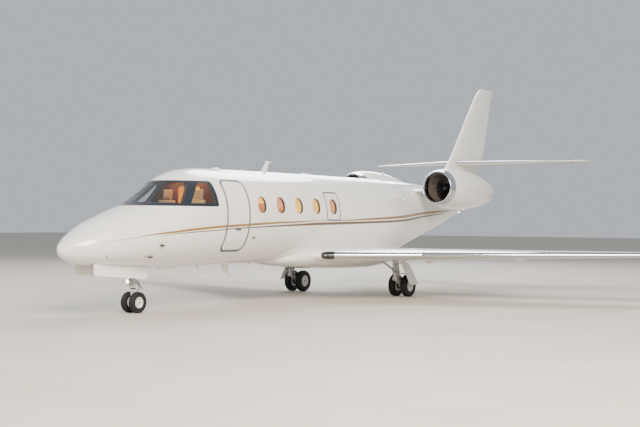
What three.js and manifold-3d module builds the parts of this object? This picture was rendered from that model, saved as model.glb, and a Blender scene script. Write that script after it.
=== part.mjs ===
// A twin-engined business jet parked on its gear.
// Millimetres, +Z up, +X to port, the nose towards -Y.
// Stations are distances aft of the nose tip; the whole group is shifted at the end.
import * as THREE from 'three';
import { mergeVertices } from 'three/addons/utils/BufferGeometryUtils.js';
import Module from 'manifold-3d';

const wasm = await Module();
wasm.setup();

// Driving dimensions
const LENGTH = 17300;
const SEAT_GAP = 0.3; // between pieces that rest on each other
const PANEL_GAP = 7; // round doors, hatches and control surfaces
const BODY_SIDES = 26; // points round a fuselage section, two of them on its widest line
const FAR = 3000; // past any piece, for the forms that only cut

// Fuselage sections
// Columns: station, top, bottom, half width, height of the widest line, squareness of the upper half
const BODY = [
  [0, 1231, 1231, 0, 1231, 2.15],
  [30, 1314, 1146, 66, 1236, 2.15],
  [100, 1368, 1091, 146, 1243, 2.15],
  [220, 1447, 1037, 263, 1255, 2.15],
  [420, 1570, 971, 402, 1275, 2.15],
  [750, 1744, 929, 540, 1335, 2.15],
  [1150, 1889, 900, 660, 1430, 2.15],
  [1550, 2035, 880, 759, 1530, 1.9],
  [1750, 2102, 872, 799, 1575, 1.75],
  [1950, 2192, 866, 834, 1620, 1.72],
  [2150, 2312, 861, 865, 1660, 1.72],
  [2400, 2478, 857, 895, 1710, 1.72],
  [2700, 2668, 856, 920, 1770, 1.85],
  [3100, 2795, 858, 946, 1825, 2.05],
  [3600, 2848, 866, 961, 1860, 2.15],
  [4600, 2860, 872, 968, 1870, 2.15],
  [9400, 2866, 872, 968, 1870, 2.15],
  [10300, 2860, 905, 930, 1885, 2.15],
  [11000, 2850, 1000, 810, 1930, 2.1],
  [11700, 2835, 1180, 670, 2010, 2.1],
  [12500, 2810, 1385, 560, 2100, 2.0],
  [13300, 2780, 1590, 465, 2190, 2.0],
  [14200, 2735, 1840, 350, 2290, 2.0],
  [15100, 2660, 2110, 205, 2385, 2.0],
  [15750, 2545, 2300, 75, 2425, 2.0],
];
const LOWER_SQUARENESS = 2.15;
const SKIN = 60; // cabin wall, from the paint to the lining
const TAIL_SKIN = 24;

// Where the fuselage's panels meet
const RADOME_END = 580;
const COCKPIT_END = 3400;
const CABIN_END = 10300;
const TAIL_END = 15750;
const TAIL_HOLLOW_END = 14300;

// Openings in the fuselage
const DOOR = { front: 3535, rear: 4190, bottom: 1180, top: 2570, corner: 110 };
const DOOR_HINGE = { x: [690, 722], stations: [3700, 3960], width: 60, height: 25 };
const STEP = { count: 4, first: 1400, rise: 285, depth: 190, thick: 45, margin: 70 };
const WINDOW = { width: 285, height: 345, centre: 2108, stations: [4630, 5275, 5925, 6580, 7240] };
const HATCH = { front: 6990, rear: 7490, bottom: 1815, top: 2415, corner: 60 };
const CABIN_FLOOR = 1100;
const FLOOR_END = 9300;
const COCKPIT_FRONT = 1760;
const GEAR_BAY = { front: 610, rear: 2010, half: 232, roof: 1200 };

// Cockpit panes as seen from the side (station, height), and the windscreen from ahead (x, height)
const SIDE_PANE = [[1900, 2108], [2435, 2094], [2785, 2502], [2480, 2508]];
const REAR_PANE = [[2585, 2094], [3215, 2100], [3232, 2512], [2945, 2512]];
const SCREEN_PANE = [[22, 2095], [258, 2105], [104, 2508], [16, 2530]];
const PANES = { front: 1500, rear: 3600, low: 2000, high: 2620 };
const SCREEN_POST = { foot: 30, head: 10 };
const PANE_RECESS = 5;
const PANE_FIT = 0.997; // a pane against its hole
const PANE_DEPTH = 72; // from the paint to the back of the panes' carrier

// Wing: x, leading-edge station, trailing-edge station, height of the chord line, thickness, and the
// cant that turns the tip up into a winglet
const WING = [
  [620, 6300, 9850, 1008, 330, 0],
  [1000, 6560, 9850, 1013, 312, 0],
  [2900, 7850, 9850, 1036, 246, 0],
  [8150, 10289, 11016, 1102, 90, 0],
  [8270, 10395, 11062, 1118, 72, 25],
  [8345, 10520, 11110, 1180, 58, 60],
  [8388, 10660, 11170, 1310, 46, 78],
  [8459.2, 11010, 11330, 1640, 24, 78],
];
// Half thickness of the wing's section, upper and lower, against the chord from the leading edge
const AEROFOIL = [
  [0, 0, 0],
  [0.012, 0.2, 0.18],
  [0.05, 0.36, 0.34],
  [0.15, 0.51, 0.46],
  [0.35, 0.56, 0.44],
  [0.55, 0.47, 0.34],
  [0.75, 0.29, 0.18],
  [0.92, 0.1, 0.06],
  [1, 0.02, 0.02],
];
const EVEN_FOIL = AEROFOIL.map(([c, over, under]) => [c, (over + under) / 2, (over + under) / 2]);
// Trailing-edge surfaces: first and last x, and the hinge line's stations there
const FLAP_INNER = { from: 1080, to: 2880, hinge: [9290, 9290] };
const FLAP_OUTER = { from: 3050, to: 5330, hinge: [9356.5, 9860], squareEnd: true };
const AILERON = { from: 5380, to: 7980, hinge: [9990, 10740] };
const NOSE_CLEARANCE = 9; // round a hinged surface's nose
const HINGE_ROD = 5;
// Flap track fairings: x, front and rear stations, half width, lowest point
const TRACKS = [[2350, 8900, 9560, 55, 805], [4480, 9280, 9930, 50, 900]];
// Jacking pads: radius, and x, station and lowest point under a wing and under the nose
const JACK_PAD = { radius: 38, height: 50, wing: [2050, 8500, 908], nose: [0, 2300, 846] };

// Belly fairing: station, bottom, half width, top
const FAIRING = [
  [5750, 868, 250, 900],
  [6100, 800, 640, 980],
  [6600, 735, 930, 1090],
  [7300, 690, 1020, 1130],
  [8300, 650, 1030, 1130],
  [9300, 640, 1030, 1120],
  [10100, 700, 900, 1090],
  [10500, 790, 700, 1070],
  [10900, 910, 470, 1080],
  [11250, 1040, 260, 1130],
];

// Fin: height, leading-edge station, trailing-edge station, x of its middle, thickness
const FIN = [
  [2560, 13560, 15650, 0, 300],
  [3000, 13980, 16060, 0, 230],
  [3620, 14594, 16600, 0, 186],
  [5545, 16128, 17205, 0, 104],
  [5770, 16400, 17275, 0, 80],
  [5820, 16500, 17300, 0, 50],
];
const RUDDER = { from: 3700, to: 5520, hinge: [15999, 16868], endGap: 14 };

// Tailplane: x, leading-edge station, trailing-edge station, height, thickness
const TAILPLANE = [
  [0, 14700, 16480, 3505, 150],
  [3300, 16060, 16880, 3545, 62],
  [3420, 16140, 16885, 3547, 44],
  [3460, 16260, 16880, 3547, 18],
];
const ELEVATOR = { from: 190, to: 3120, hinge: [16010, 16560] };

// Engines: the nacelle's axis, and its outline along that axis
const NACELLE = { x: 1300, station: 11420, z: 2675, length: 2680, drop: 75 };
const LIP_END = 190;
// Distance along the axis and radius, outside and then back along the inside
const LIP_OUTLINE = [[LIP_END, 468], [70, 445], [8, 415], [8, 390], [80, 360], [LIP_END, 350]];
const COWL_OUTSIDE = [[500, 510], [950, 526], [1500, 506], [2150, 425], [2680, 305]];
const COWL_INSIDE = [[2680, 290], [2050, 386], [1000, 386], [900, 362]];
const FAN = { station: 640, radius: 345, hub: 120, blades: 12, thick: 12, chord: 95, twist: 0.75, shaft: 34 };
const CORE = { front: 780, vanes: 1020, duct: 385.4, rear: 2050, radius: 330, tail: 2560 };
// Pylon: its section holds shares of the chord and heights over the middle
const PYLON = {
  inner: 300, outer: 1150, front: 11650, chord: 2100, z: 2600, drop: 40,
  section: [[0, 0], [0.06, 40], [0.3, 62], [0.7, 50], [1, 6], [1, -6], [0.7, -50], [0.3, -62], [0.06, -40]],
};

// Landing gear
const NOSE_GEAR = {
  station: 1860, trail: 20, split: 640, strut: 1150, radius: 203, width: 108, half: 107, rim: 104, axle: 20, boss: 40,
};
const MAIN_GEAR = {
  x: 1545, leg: 8990, knee: 430, station: 9300, radius: 265, width: 158, half: 168, rim: 136, axle: 30, boss: 74,
};
const NOSE_DOOR = { x: 247, front: 612, rear: 1985, frontLow: 757, rearLow: 652, thick: 18 };
// Leg door: its outline as distances aft of the leg and heights, and how far it splays outboard
const MAIN_DOOR = {
  outline: [[60, 880], [235, 868], [420, 780], [420, 300], [60, 300]], gap: 66, splay: 0.52, thick: 18,
  links: [800, 560],
};
const LEG_BAY = { inner: 1000, outer: 110, ahead: 150, behind: 180, roof: 1030 };
const TYRE_SIDES = 16;
const AXLE_SIDES = 16;
const NACELLE_SIDES = 20;
const BORE_GAP = 1;

// Finishes
const finish = (color, roughness, metalness) => new THREE.MeshStandardMaterial({ color, roughness, metalness });
const WHITE_PAINT = finish(0xf2f1ee, 0.2, 0.0);
const BARE_METAL = finish(0xb9bec6, 0.15, 1.0);
const STEEL = finish(0x9a9da1, 0.35, 1.0);
const RUBBER = finish(0x161616, 0.9, 0.0);
const GLASS = finish(0x1d2733, 0.05, 0.0);
const LEATHER = finish(0xc7a67b, 0.55, 0.0);
const PANEL_GREY = finish(0x3a3b3e, 0.6, 0.0);
const LINING = finish(0xd9cdb8, 0.8, 0.0);

// A closed surface as a solid: shared corners merged, triangles of no area dropped, faces outwards
function solid(geometry) {
  const bare = geometry.clone();
  for (const extra of ['normal', 'uv']) bare.deleteAttribute(extra);
  const merged = mergeVertices(bare, 1e-3);
  const corners = merged.attributes.position.array;
  const index = merged.index.array;
  const triangles = [];
  let volume = 0;
  for (let i = 0; i < index.length; i += 3) {
    const [a, b, c] = [index[i], index[i + 1], index[i + 2]];
    if (a === b || b === c || c === a) continue;
    triangles.push(a, b, c);
    const [p, q, r] = [a, b, c].map((v) => new THREE.Vector3().fromArray(corners, 3 * v));
    volume += p.dot(q.cross(r));
  }
  if (volume < 0) triangles.reverse();
  const mesh = new wasm.Mesh({
    numProp: 3,
    vertProperties: new Float32Array(corners),
    triVerts: new Uint32Array(triangles),
  });
  return new wasm.Manifold(mesh);
}

// A solid's surface as three.js geometry
function surface(body) {
  const mesh = body.getMesh();
  const geometry = new THREE.BufferGeometry();
  geometry.setAttribute('position', new THREE.BufferAttribute(new Float32Array(mesh.vertProperties), 3));
  geometry.setIndex(new THREE.BufferAttribute(new Uint32Array(mesh.triVerts), 1));
  return geometry;
}

function moved(body, matrix) {
  return solid(surface(body).applyMatrix4(matrix));
}

function mirrored(body) {
  return moved(body, new THREE.Matrix4().makeScale(-1, 1, 1));
}

function joined(...bodies) {
  return bodies.reduce((all, next) => all.add(next));
}

function cut(body, ...tools) {
  return tools.reduce((left, tool) => left.subtract(tool), body);
}

// A solid through rings of points, closed with a flat cap at both ends.
// The two halves of a ring are split the opposite way, so that port and starboard match.
function loft(rings) {
  const sides = rings[0].length;
  const corners = rings.flat();
  const index = [];
  for (let r = 0; r + 1 < rings.length; r++) {
    for (let i = 0; i < sides; i++) {
      const a = r * sides + i;
      const b = r * sides + ((i + 1) % sides);
      if (i < sides / 2) index.push(a, b, b + sides, a, b + sides, a + sides);
      else index.push(a, b, a + sides, b, b + sides, a + sides);
    }
  }
  for (const [ring, first] of [[rings[0], 0], [rings.at(-1), (rings.length - 1) * sides]]) {
    const centre = ring.reduce((sum, p) => sum.add(p), new THREE.Vector3()).divideScalar(sides);
    const hub = corners.push(centre) - 1;
    for (let i = 0; i < sides; i++) {
      const a = first + i;
      const b = first + ((i + 1) % sides);
      index.push(...(first === 0 ? [hub, b, a] : [hub, a, b]));
    }
  }
  const geometry = new THREE.BufferGeometry().setFromPoints(corners);
  geometry.setIndex(index);
  return solid(geometry);
}

function block(low, high) {
  const size = high.map((v, i) => v - low[i]);
  const middle = high.map((v, i) => (v + low[i]) / 2);
  return solid(new THREE.BoxGeometry(...size).translate(...middle));
}

// A round bar or cone between two points
function bar(from, to, radius, endRadius = radius, sides = 10) {
  const a = new THREE.Vector3(...from);
  const b = new THREE.Vector3(...to);
  const geometry = new THREE.CylinderGeometry(endRadius, radius, a.distanceTo(b), sides);
  const turn = new THREE.Quaternion().setFromUnitVectors(new THREE.Vector3(0, 1, 0), b.clone().sub(a).normalize());
  geometry.applyQuaternion(turn);
  const middle = a.add(b).divideScalar(2);
  return solid(geometry.translate(middle.x, middle.y, middle.z));
}

// A solid of revolution: the outline's points are (distance along the axis, radius)
function turned(outline, origin, direction, sides) {
  const profile = outline.map(([along, radius]) => new THREE.Vector2(radius, along));
  const geometry = new THREE.LatheGeometry(profile, sides);
  const along = new THREE.Vector3(...direction);
  geometry.applyQuaternion(new THREE.Quaternion().setFromUnitVectors(new THREE.Vector3(0, 1, 0), along));
  return solid(geometry.translate(...origin));
}

// A prism along X, from an outline of (station, height) points
function sidePrism(outline, fromX, toX) {
  const shape = new THREE.Shape(outline.map(([s, z]) => new THREE.Vector2(s, z)));
  const geometry = new THREE.ExtrudeGeometry(shape, { depth: toX - fromX, bevelEnabled: false });
  const turn = new THREE.Matrix4().makeBasis(
    new THREE.Vector3(0, 1, 0), new THREE.Vector3(0, 0, 1), new THREE.Vector3(1, 0, 0),
  );
  return solid(geometry.applyMatrix4(turn).translate(fromX, 0, 0));
}

// A prism along the stations, from an outline of (x, height) points
function endPrism(outline, from, to) {
  const shape = new THREE.Shape(outline.map(([x, z]) => new THREE.Vector2(x, z)));
  const geometry = new THREE.ExtrudeGeometry(shape, { depth: to - from, bevelEnabled: false });
  const turn = new THREE.Matrix4().makeBasis(
    new THREE.Vector3(1, 0, 0), new THREE.Vector3(0, 0, 1), new THREE.Vector3(0, -1, 0),
  );
  return solid(geometry.applyMatrix4(turn).translate(0, to, 0));
}

// A prism along Z, from an outline of (x, station) points
function planPrism(outline, fromZ, toZ) {
  const shape = new THREE.Shape(outline.map(([x, s]) => new THREE.Vector2(x, s)));
  const geometry = new THREE.ExtrudeGeometry(shape, { depth: toZ - fromZ, bevelEnabled: false });
  return solid(geometry.translate(0, 0, fromZ));
}

// Outline of a rectangle with round corners
function roundedOutline(left, right, bottom, top, radius, steps = 4) {
  const outline = [];
  const corners = [[right, top, 0], [left, top, 90], [left, bottom, 180], [right, bottom, 270]];
  for (const [u, v, start] of corners) {
    const inU = u - Math.sign(u - (left + right) / 2) * radius;
    const inV = v - Math.sign(v - (bottom + top) / 2) * radius;
    for (let i = 0; i <= steps; i++) {
      const angle = THREE.MathUtils.degToRad(start + (90 * i) / steps);
      outline.push([inU + radius * Math.cos(angle), inV + radius * Math.sin(angle)]);
    }
  }
  return outline;
}

// Outline of an oval window, slightly fuller than an ellipse
function ovalOutline(station, grow = 0, points = 12) {
  const outline = [];
  for (let i = 0; i < points; i++) {
    const angle = (2 * Math.PI * i) / points;
    const fuller = (v) => Math.sign(v) * Math.abs(v) ** 0.88;
    outline.push([
      station + (WINDOW.width / 2 + grow) * fuller(Math.cos(angle)),
      WINDOW.centre + (WINDOW.height / 2 + grow) * fuller(Math.sin(angle)),
    ]);
  }
  return outline;
}

// Value of a table's column at a position, along a smooth curve that never overshoots
function smooth(table, column, at, warp = (v) => v) {
  const u = table.map((row) => warp(row[0]));
  const v = table.map((row) => row[column]);
  const x = THREE.MathUtils.clamp(warp(at), u[0], u.at(-1));
  let i = u.findIndex((value, k) => k > 0 && value >= x) - 1;
  if (i < 0) i = 0;
  const slope = (k) => (v[k + 1] - v[k]) / (u[k + 1] - u[k]);
  const tangent = (k) => {
    if (k === 0) return slope(0);
    if (k === u.length - 1) return slope(k - 1);
    const [before, after] = [slope(k - 1), slope(k)];
    if (before * after <= 0) return 0;
    return (2 * before * after) / (before + after);
  };
  const span = u[i + 1] - u[i];
  const t = (x - u[i]) / span;
  const [t2, t3] = [t * t, t * t * t];
  return (
    v[i] * (2 * t3 - 3 * t2 + 1) + tangent(i) * span * (t3 - 2 * t2 + t) +
    v[i + 1] * (3 * t2 - 2 * t3) + tangent(i + 1) * span * (t3 - t2)
  );
}

// One fuselage section, drawn in from the paint by an inset
function bodyRing(station, inset = 0, sides = BODY_SIDES) {
  const [top, bottom, half, widest, upper] = [1, 2, 3, 4, 5].map((c) => smooth(BODY, c, station, Math.sqrt));
  const ring = [];
  for (let i = 0; i < sides; i++) {
    const angle = (2 * Math.PI * (i + 0.5)) / sides;
    const [across, up] = [Math.sin(angle), Math.cos(angle)];
    const power = 2 / (up > 0 ? upper : LOWER_SQUARENESS);
    const reach = (up > 0 ? top - inset - widest : widest - bottom - inset);
    ring.push(new THREE.Vector3(
      Math.max(half - inset, 1) * Math.sign(across) * Math.abs(across) ** power,
      station,
      widest + reach * Math.sign(up) * Math.abs(up) ** power,
    ));
  }
  return ring;
}

// The whole fuselage's form, drawn in by an inset, and a length of it
const wholeForms = new Map();
function wholeForm(inset) {
  if (!wholeForms.has(inset)) {
    const first = inset > 0 ? RADOME_END : 0;
    const stations = [...BODY.map((row) => row[0]), 12, RADOME_END, 1350, COCKPIT_END, 9900].filter((s) => s >= first);
    wholeForms.set(inset, loft(stations.sort((a, b) => a - b).map((s) => bodyRing(s, inset))));
  }
  return wholeForms.get(inset);
}
function bodyForm(from, to, inset = 0) {
  return wholeForm(inset).intersect(block([-2000, from, -500], [2000, to, 4000]));
}

// A wing-like form. Its rows hold a position, leading edge, trailing edge, height, thickness and cant.
function foilForm(rows, place, section = AEROFOIL) {
  const upper = section.map(([c, over]) => [c, over]);
  const lower = section.slice(1).reverse().map(([c, , under]) => [c, -under]);
  return loft(rows.map(([position, leading, trailing, height, thick, cant = 0]) => [...upper, ...lower].map(
    ([c, t]) => place(position, leading + c * (trailing - leading), height, t * thick, cant),
  )));
}

// A foil table's columns at a position, straight between its rows
function foilAt(rows, position) {
  const k = Math.max(1, rows.findIndex((row) => row[0] >= position));
  const t = (position - rows[k - 1][0]) / (rows[k][0] - rows[k - 1][0]);
  const [leading, trailing, height, thick] = [1, 2, 3, 4].map((c) => (
    THREE.MathUtils.lerp(rows[k - 1][c], rows[k][c], t)
  ));
  return { leading, trailing, height, thick };
}

// How far a foil reaches above and below its chord at a station
function foilReach(rows, section, position, station) {
  const { leading, trailing, thick } = foilAt(rows, position);
  const chord = (station - leading) / (trailing - leading);
  const k = Math.max(1, section.findIndex((row) => row[0] >= chord));
  const t = (chord - section[k - 1][0]) / (section[k][0] - section[k - 1][0]);
  const [over, under] = [1, 2].map((c) => THREE.MathUtils.lerp(section[k - 1][c], section[k][c], t));
  return { over: over * thick, under: under * thick };
}

// Places for the points of a foil: across the aircraft, canted at a winglet, or upright
function acrossPlace(x, station, height, rise, cant = 0) {
  const lean = THREE.MathUtils.degToRad(cant);
  return new THREE.Vector3(x - rise * Math.sin(lean), station, height + rise * Math.cos(lean));
}
function uprightPlace(z, station, middle, side) {
  return new THREE.Vector3(middle + side, station, z);
}

// The strip of a foil between two positions, behind a hinge line and drawn in by a margin.
// A square first end lies across the hinge line, so it stays in its own plane as the surface turns.
function behindHinge({ from, to, hinge, squareEnd = false }, margin, endGap, prism) {
  const slope = (hinge[1] - hinge[0]) / (to - from);
  const line = (position) => hinge[0] + slope * (position - from) + margin;
  const [a, b] = [from + endGap, to - endGap];
  const rear = squareEnd ? a - slope * FAR : a;
  return prism([[a, line(a)], [b, line(b)], [b, line(b) + FAR], [rear, line(a) + FAR]]);
}

// A hinged surface with a round nose and a hinge rod, and what the fixed part loses for it
function hingedSurface(rows, section, spec, form, prism, place) {
  const [a, b] = [[spec.from, spec.hinge[0]], [spec.to, spec.hinge[1]]].map(([position, station]) => {
    const { over, under } = foilReach(rows, section, position, station);
    const height = foilAt(rows, position).height + (over - under) / 2;
    return { centre: place(position, station, height, 0), radius: (over + under) / 2 - 1 };
  });
  const along = b.centre.clone().sub(a.centre).normalize();
  const nose = (grow, beyond) => bar(
    a.centre.clone().addScaledVector(along, -beyond), b.centre.clone().addScaledVector(along, beyond),
    a.radius + grow, b.radius + grow, 12,
  );
  const endGap = spec.endGap ?? PANEL_GAP;
  const between = (inset) => prism([
    [spec.from + inset, 0], [spec.to - inset, 0], [spec.to - inset, LENGTH], [spec.from + inset, LENGTH],
  ]);
  const lean = along.angleTo(place(1, 0, 0, 0).sub(place(0, 0, 0, 0)));
  const rodInset = (SEAT_GAP + HINGE_ROD * Math.sin(lean)) / Math.cos(lean);
  const moving = joined(
    form.intersect(behindHinge(spec, 0, endGap, prism)),
    nose(0, 0).intersect(between(endGap)),
    bar(
      a.centre.clone().addScaledVector(along, rodInset), b.centre.clone().addScaledVector(along, -rodInset),
      HINGE_ROD,
    ),
  );
  const lost = joined(
    behindHinge(spec, -1, 0, prism),
    nose(NOSE_CLEARANCE, 4 * NOSE_CLEARANCE).intersect(between(0)),
  );
  return { moving, lost };
}

const group = new THREE.Group();
const port = new THREE.Group();
const starboard = new THREE.Group();
starboard.scale.x = -1;
group.add(port, starboard);

function add(name, body, material, into = group) {
  const mesh = new THREE.Mesh(surface(body), material);
  mesh.name = name;
  into.add(mesh);
}

function addPair(name, body, material) {
  add(`${name}_port`, body, material, port);
  add(`${name}_starboard`, body, material, starboard);
}

const jackPad = ([x, station, low]) => bar(
  [x, station, low], [x, station, low + JACK_PAD.height], JACK_PAD.radius,
);

// Radome
add('radome', bodyForm(0, RADOME_END - SEAT_GAP), WHITE_PAINT);

// Cockpit section: the nose with its gear bay, hollow behind the rudder pedals
const gearBay = block(
  [-GEAR_BAY.half, GEAR_BAY.front, 0],
  [GEAR_BAY.half, GEAR_BAY.rear, GEAR_BAY.roof],
);
const aboveBay = block([-FAR, 0, 0], [FAR, GEAR_BAY.rear + 110, GEAR_BAY.roof + 90]);
const cockpitHollow = cut(bodyForm(COCKPIT_FRONT, COCKPIT_END + 50, SKIN), aboveBay);

// Outboard of the windscreen's post, and behind the post between the side panes
const outboardOfPost = (gap) => endPrism([
  [SCREEN_PANE[1][0] + SCREEN_POST.foot + gap, PANES.low], [FAR, PANES.low],
  [FAR, PANES.high], [SCREEN_PANE[2][0] + SCREEN_POST.head + gap, PANES.high],
], PANES.front, PANES.rear);
function shrunk(outline, factor) {
  const middle = [0, 1].map((c) => outline.reduce((sum, p) => sum + p[c], 0) / outline.length);
  return outline.map((p) => p.map((v, c) => middle[c] + (v - middle[c]) * factor));
}
function cockpitPanes(factor, gap) {
  return joined(
    endPrism(shrunk(SCREEN_PANE, factor), PANES.front, SIDE_PANE[1][0] + 250),
    sidePrism(shrunk(SIDE_PANE, factor), 0, FAR).intersect(outboardOfPost(gap)),
    sidePrism(shrunk(REAR_PANE, factor), 100, FAR),
  );
}
const paneHoles = cockpitPanes(1, 0);
add('cockpit_section', joined(cut(
  bodyForm(RADOME_END, COCKPIT_END - SEAT_GAP), gearBay, cockpitHollow, paneHoles, mirrored(paneHoles),
), jackPad(JACK_PAD.nose)), WHITE_PAINT);

// Cockpit glass: three panes a side, on a thin carrier inside the posts
const paneShell = cut(
  bodyForm(PANES.front, PANES.rear, PANE_RECESS), bodyForm(PANES.front - 50, PANES.rear + 50, PANE_DEPTH),
);
const carrier = cut(
  bodyForm(1790, COCKPIT_END - 90, SKIN + SEAT_GAP), bodyForm(1700, COCKPIT_END, PANE_DEPTH),
).intersect(block([4, 1790, 2070], [FAR, 3290, 2545]));
addPair('cockpit_glass', joined(cockpitPanes(PANE_FIT, 0.6).intersect(paneShell), carrier), GLASS);

// Cabin section: a hollow tube with the door's, the hatches' and the windows' apertures
const sideHole = ({ front, rear, bottom, top, corner }, gap = 0) => sidePrism(
  roundedOutline(front + gap, rear - gap, bottom + gap, top - gap, corner), 200, FAR,
);
const windowHole = (station, grow = 0) => sidePrism(ovalOutline(station, grow), 200, FAR);
const hatchway = sideHole(HATCH);
const windowHoles = WINDOW.stations.slice(0, -1).map((station) => windowHole(station));
add('cabin_section', cut(
  bodyForm(COCKPIT_END, CABIN_END - SEAT_GAP),
  bodyForm(COCKPIT_END - 50, CABIN_END + 50, SKIN),
  sideHole(DOOR), hatchway, mirrored(hatchway),
  ...windowHoles, ...windowHoles.map(mirrored),
), WHITE_PAINT);

// Over-wing escape hatches, plugs cut from the same wall, each round the last window
const wall = cut(bodyForm(3450, 9000), bodyForm(3400, 9050, SKIN));
addPair('escape_hatch', cut(
  wall.intersect(sideHole(HATCH, 1)), windowHole(WINDOW.stations.at(-1)),
), WHITE_PAINT);

// Window panes of one side, on a strip behind the wall
const [stripFront, stripRear] = [WINDOW.stations[0] - 190, WINDOW.stations.at(-1) + 190];
const paneWall = (inset) => cut(
  bodyForm(stripFront - 100, stripRear + 100, inset), bodyForm(stripFront - 150, stripRear + 150, SKIN + 10),
);
const strip = paneWall(SKIN + SEAT_GAP).intersect(
  block([100, stripFront, WINDOW.centre - 193], [FAR, stripRear, WINDOW.centre + 192]),
);
const panes = WINDOW.stations.map((station) => paneWall(PANE_RECESS + 3).intersect(windowHole(station, -0.6)));
addPair('cabin_windows', joined(strip, ...panes), GLASS);

// Entry door: the wall inside the doorway, with hinge lugs on the sill and steps on its inner face
const steps = [];
for (let i = 0; i < STEP.count; i++) {
  const z = STEP.first + i * STEP.rise;
  const lining = bodyRing((DOOR.front + DOOR.rear) / 2, SKIN, 72).filter((p) => Math.abs(p.z - z) < 60);
  const x = Math.max(...lining.map((p) => p.x));
  steps.push(block(
    [x - STEP.depth, DOOR.front + STEP.margin, z], [x + 25, DOOR.rear - STEP.margin, z + STEP.thick],
  ));
}
const sill = DOOR.bottom + SEAT_GAP;
const hingeLugs = DOOR_HINGE.stations.map((station) => block(
  [DOOR_HINGE.x[0], station, sill], [DOOR_HINGE.x[1], station + DOOR_HINGE.width, sill + DOOR_HINGE.height],
));
add('entry_door', joined(
  wall.intersect(sideHole(DOOR, PANEL_GAP)), ...hingeLugs, ...steps,
), WHITE_PAINT);

// Floor, with the divider ahead of the cabin and the bulkhead behind it
const lined = (front, rear, low, high) => bodyForm(front - 1, rear + 1, SKIN + SEAT_GAP).intersect(
  block([-FAR, front, low], [FAR, rear, high]),
);
const divider = cut(
  lined(3405, 3445, 0, FAR),
  block([-300, 3300, CABIN_FLOOR], [300, 3500, 2600]),
);
add('cabin_floor', joined(
  lined(2150, FLOOR_END, CABIN_FLOOR - 45, CABIN_FLOOR), lined(FLOOR_END - 60, FLOOR_END, 0, FAR), divider,
), LINING);

// Instrument panel with its coaming and centre pedestal
const clearOfWall = bodyForm(1900, 2400, SKIN + 14);
add('instrument_panel', joined(
  clearOfWall.intersect(block([-FAR, 2140, 1330], [FAR, 2230, 2060])),
  clearOfWall.intersect(block([-FAR, 1960, 2000], [FAR, 2230, 2060])),
  block([-150, 2200, CABIN_FLOOR + SEAT_GAP], [150, 2760, 1560]),
), PANEL_GREY);

// A seat: a padded base on a plinth, a back that leans aft and a head rest
function seat(x, station, width, facing = 1) {
  const half = width / 2;
  const base = CABIN_FLOOR + SEAT_GAP;
  const slab = (from, to, low, high, inset) => {
    const ends = [station + facing * from, station + facing * to].sort((p, q) => p - q);
    return block([x - half + inset, ends[0], base + low], [x + half - inset, ends[1], base + high]);
  };
  const leaning = (outline, share) => sidePrism(
    outline.map(([along, up]) => [station + facing * along, base + up]), x - half * share, x + half * share,
  );
  return joined(
    slab(60, 500, 0, 250, 142),
    slab(0, 530, 240, 430, 0),
    leaning([[430, 380], [540, 360], [690, 1100], [600, 1120]], 1),
    leaning([[597, 1080], [687, 1070], [722, 1300], [632, 1310]], 0.55),
  );
}
add('pilot_seat', seat(410, 2590, 440), LEATHER);
add('copilot_seat', seat(-410, 2590, 440), LEATHER);
addPair('club_seats', joined(
  seat(440, 5150, 480, -1),
  seat(440, 5480, 480),
  block([345, 4700, CABIN_FLOOR + SEAT_GAP], [530, 6000, CABIN_FLOOR + 60]),
), LEATHER);

// Wing, port half, with the track fairings of its flaps
const wingForm = foilForm(WING, acrossPlace);
const wingPrism = (outline) => planPrism(outline, 0, FAR);
const fuselageClear = bodyForm(5200, TAIL_END, -SEAT_GAP);
function trackFairing([x, front, rear, half, low]) {
  const top = foilAt(WING, x).height - 10;
  const middle = front + (rear - front) * 0.45;
  const shoulder = low + (top - low) * 0.35;
  const rings = [[front, 0.2, 0.3], [middle, 1, 1], [rear, 0.2, 0.3]].map(([station, wide, deep]) => [
    [-wide, top], [wide, top], [wide, top + (shoulder - top) * deep], [wide / 2, top + (low - top) * deep],
    [-wide / 2, top + (low - top) * deep], [-wide, top + (shoulder - top) * deep],
  ].map(([across, z]) => new THREE.Vector3(x + across * half, station, z)));
  return loft(rings);
}
const tracks = joined(...TRACKS.map(trackFairing));
const aileron = hingedSurface(WING, AEROFOIL, AILERON, wingForm, wingPrism, acrossPlace);
const legBay = block(
  [LEG_BAY.inner, MAIN_GEAR.leg - LEG_BAY.ahead, 0],
  [MAIN_GEAR.x + LEG_BAY.outer, MAIN_GEAR.leg + LEG_BAY.behind, LEG_BAY.roof],
);
addPair('wing', joined(cut(
  joined(wingForm, tracks), fuselageClear, aileron.lost, legBay,
  behindHinge(FLAP_INNER, 0, 0, wingPrism), behindHinge(FLAP_OUTER, 0, 0, wingPrism),
), jackPad(JACK_PAD.wing)), WHITE_PAINT);
addPair('aileron', aileron.moving, WHITE_PAINT);
for (const [name, spec] of [['flap_inner', FLAP_INNER], ['flap_outer', FLAP_OUTER]]) {
  addPair(name, joined(
    wingForm.intersect(behindHinge(spec, PANEL_GAP, PANEL_GAP, wingPrism)),
    tracks.intersect(behindHinge(spec, SEAT_GAP, PANEL_GAP, wingPrism)),
  ), WHITE_PAINT);
}

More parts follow.
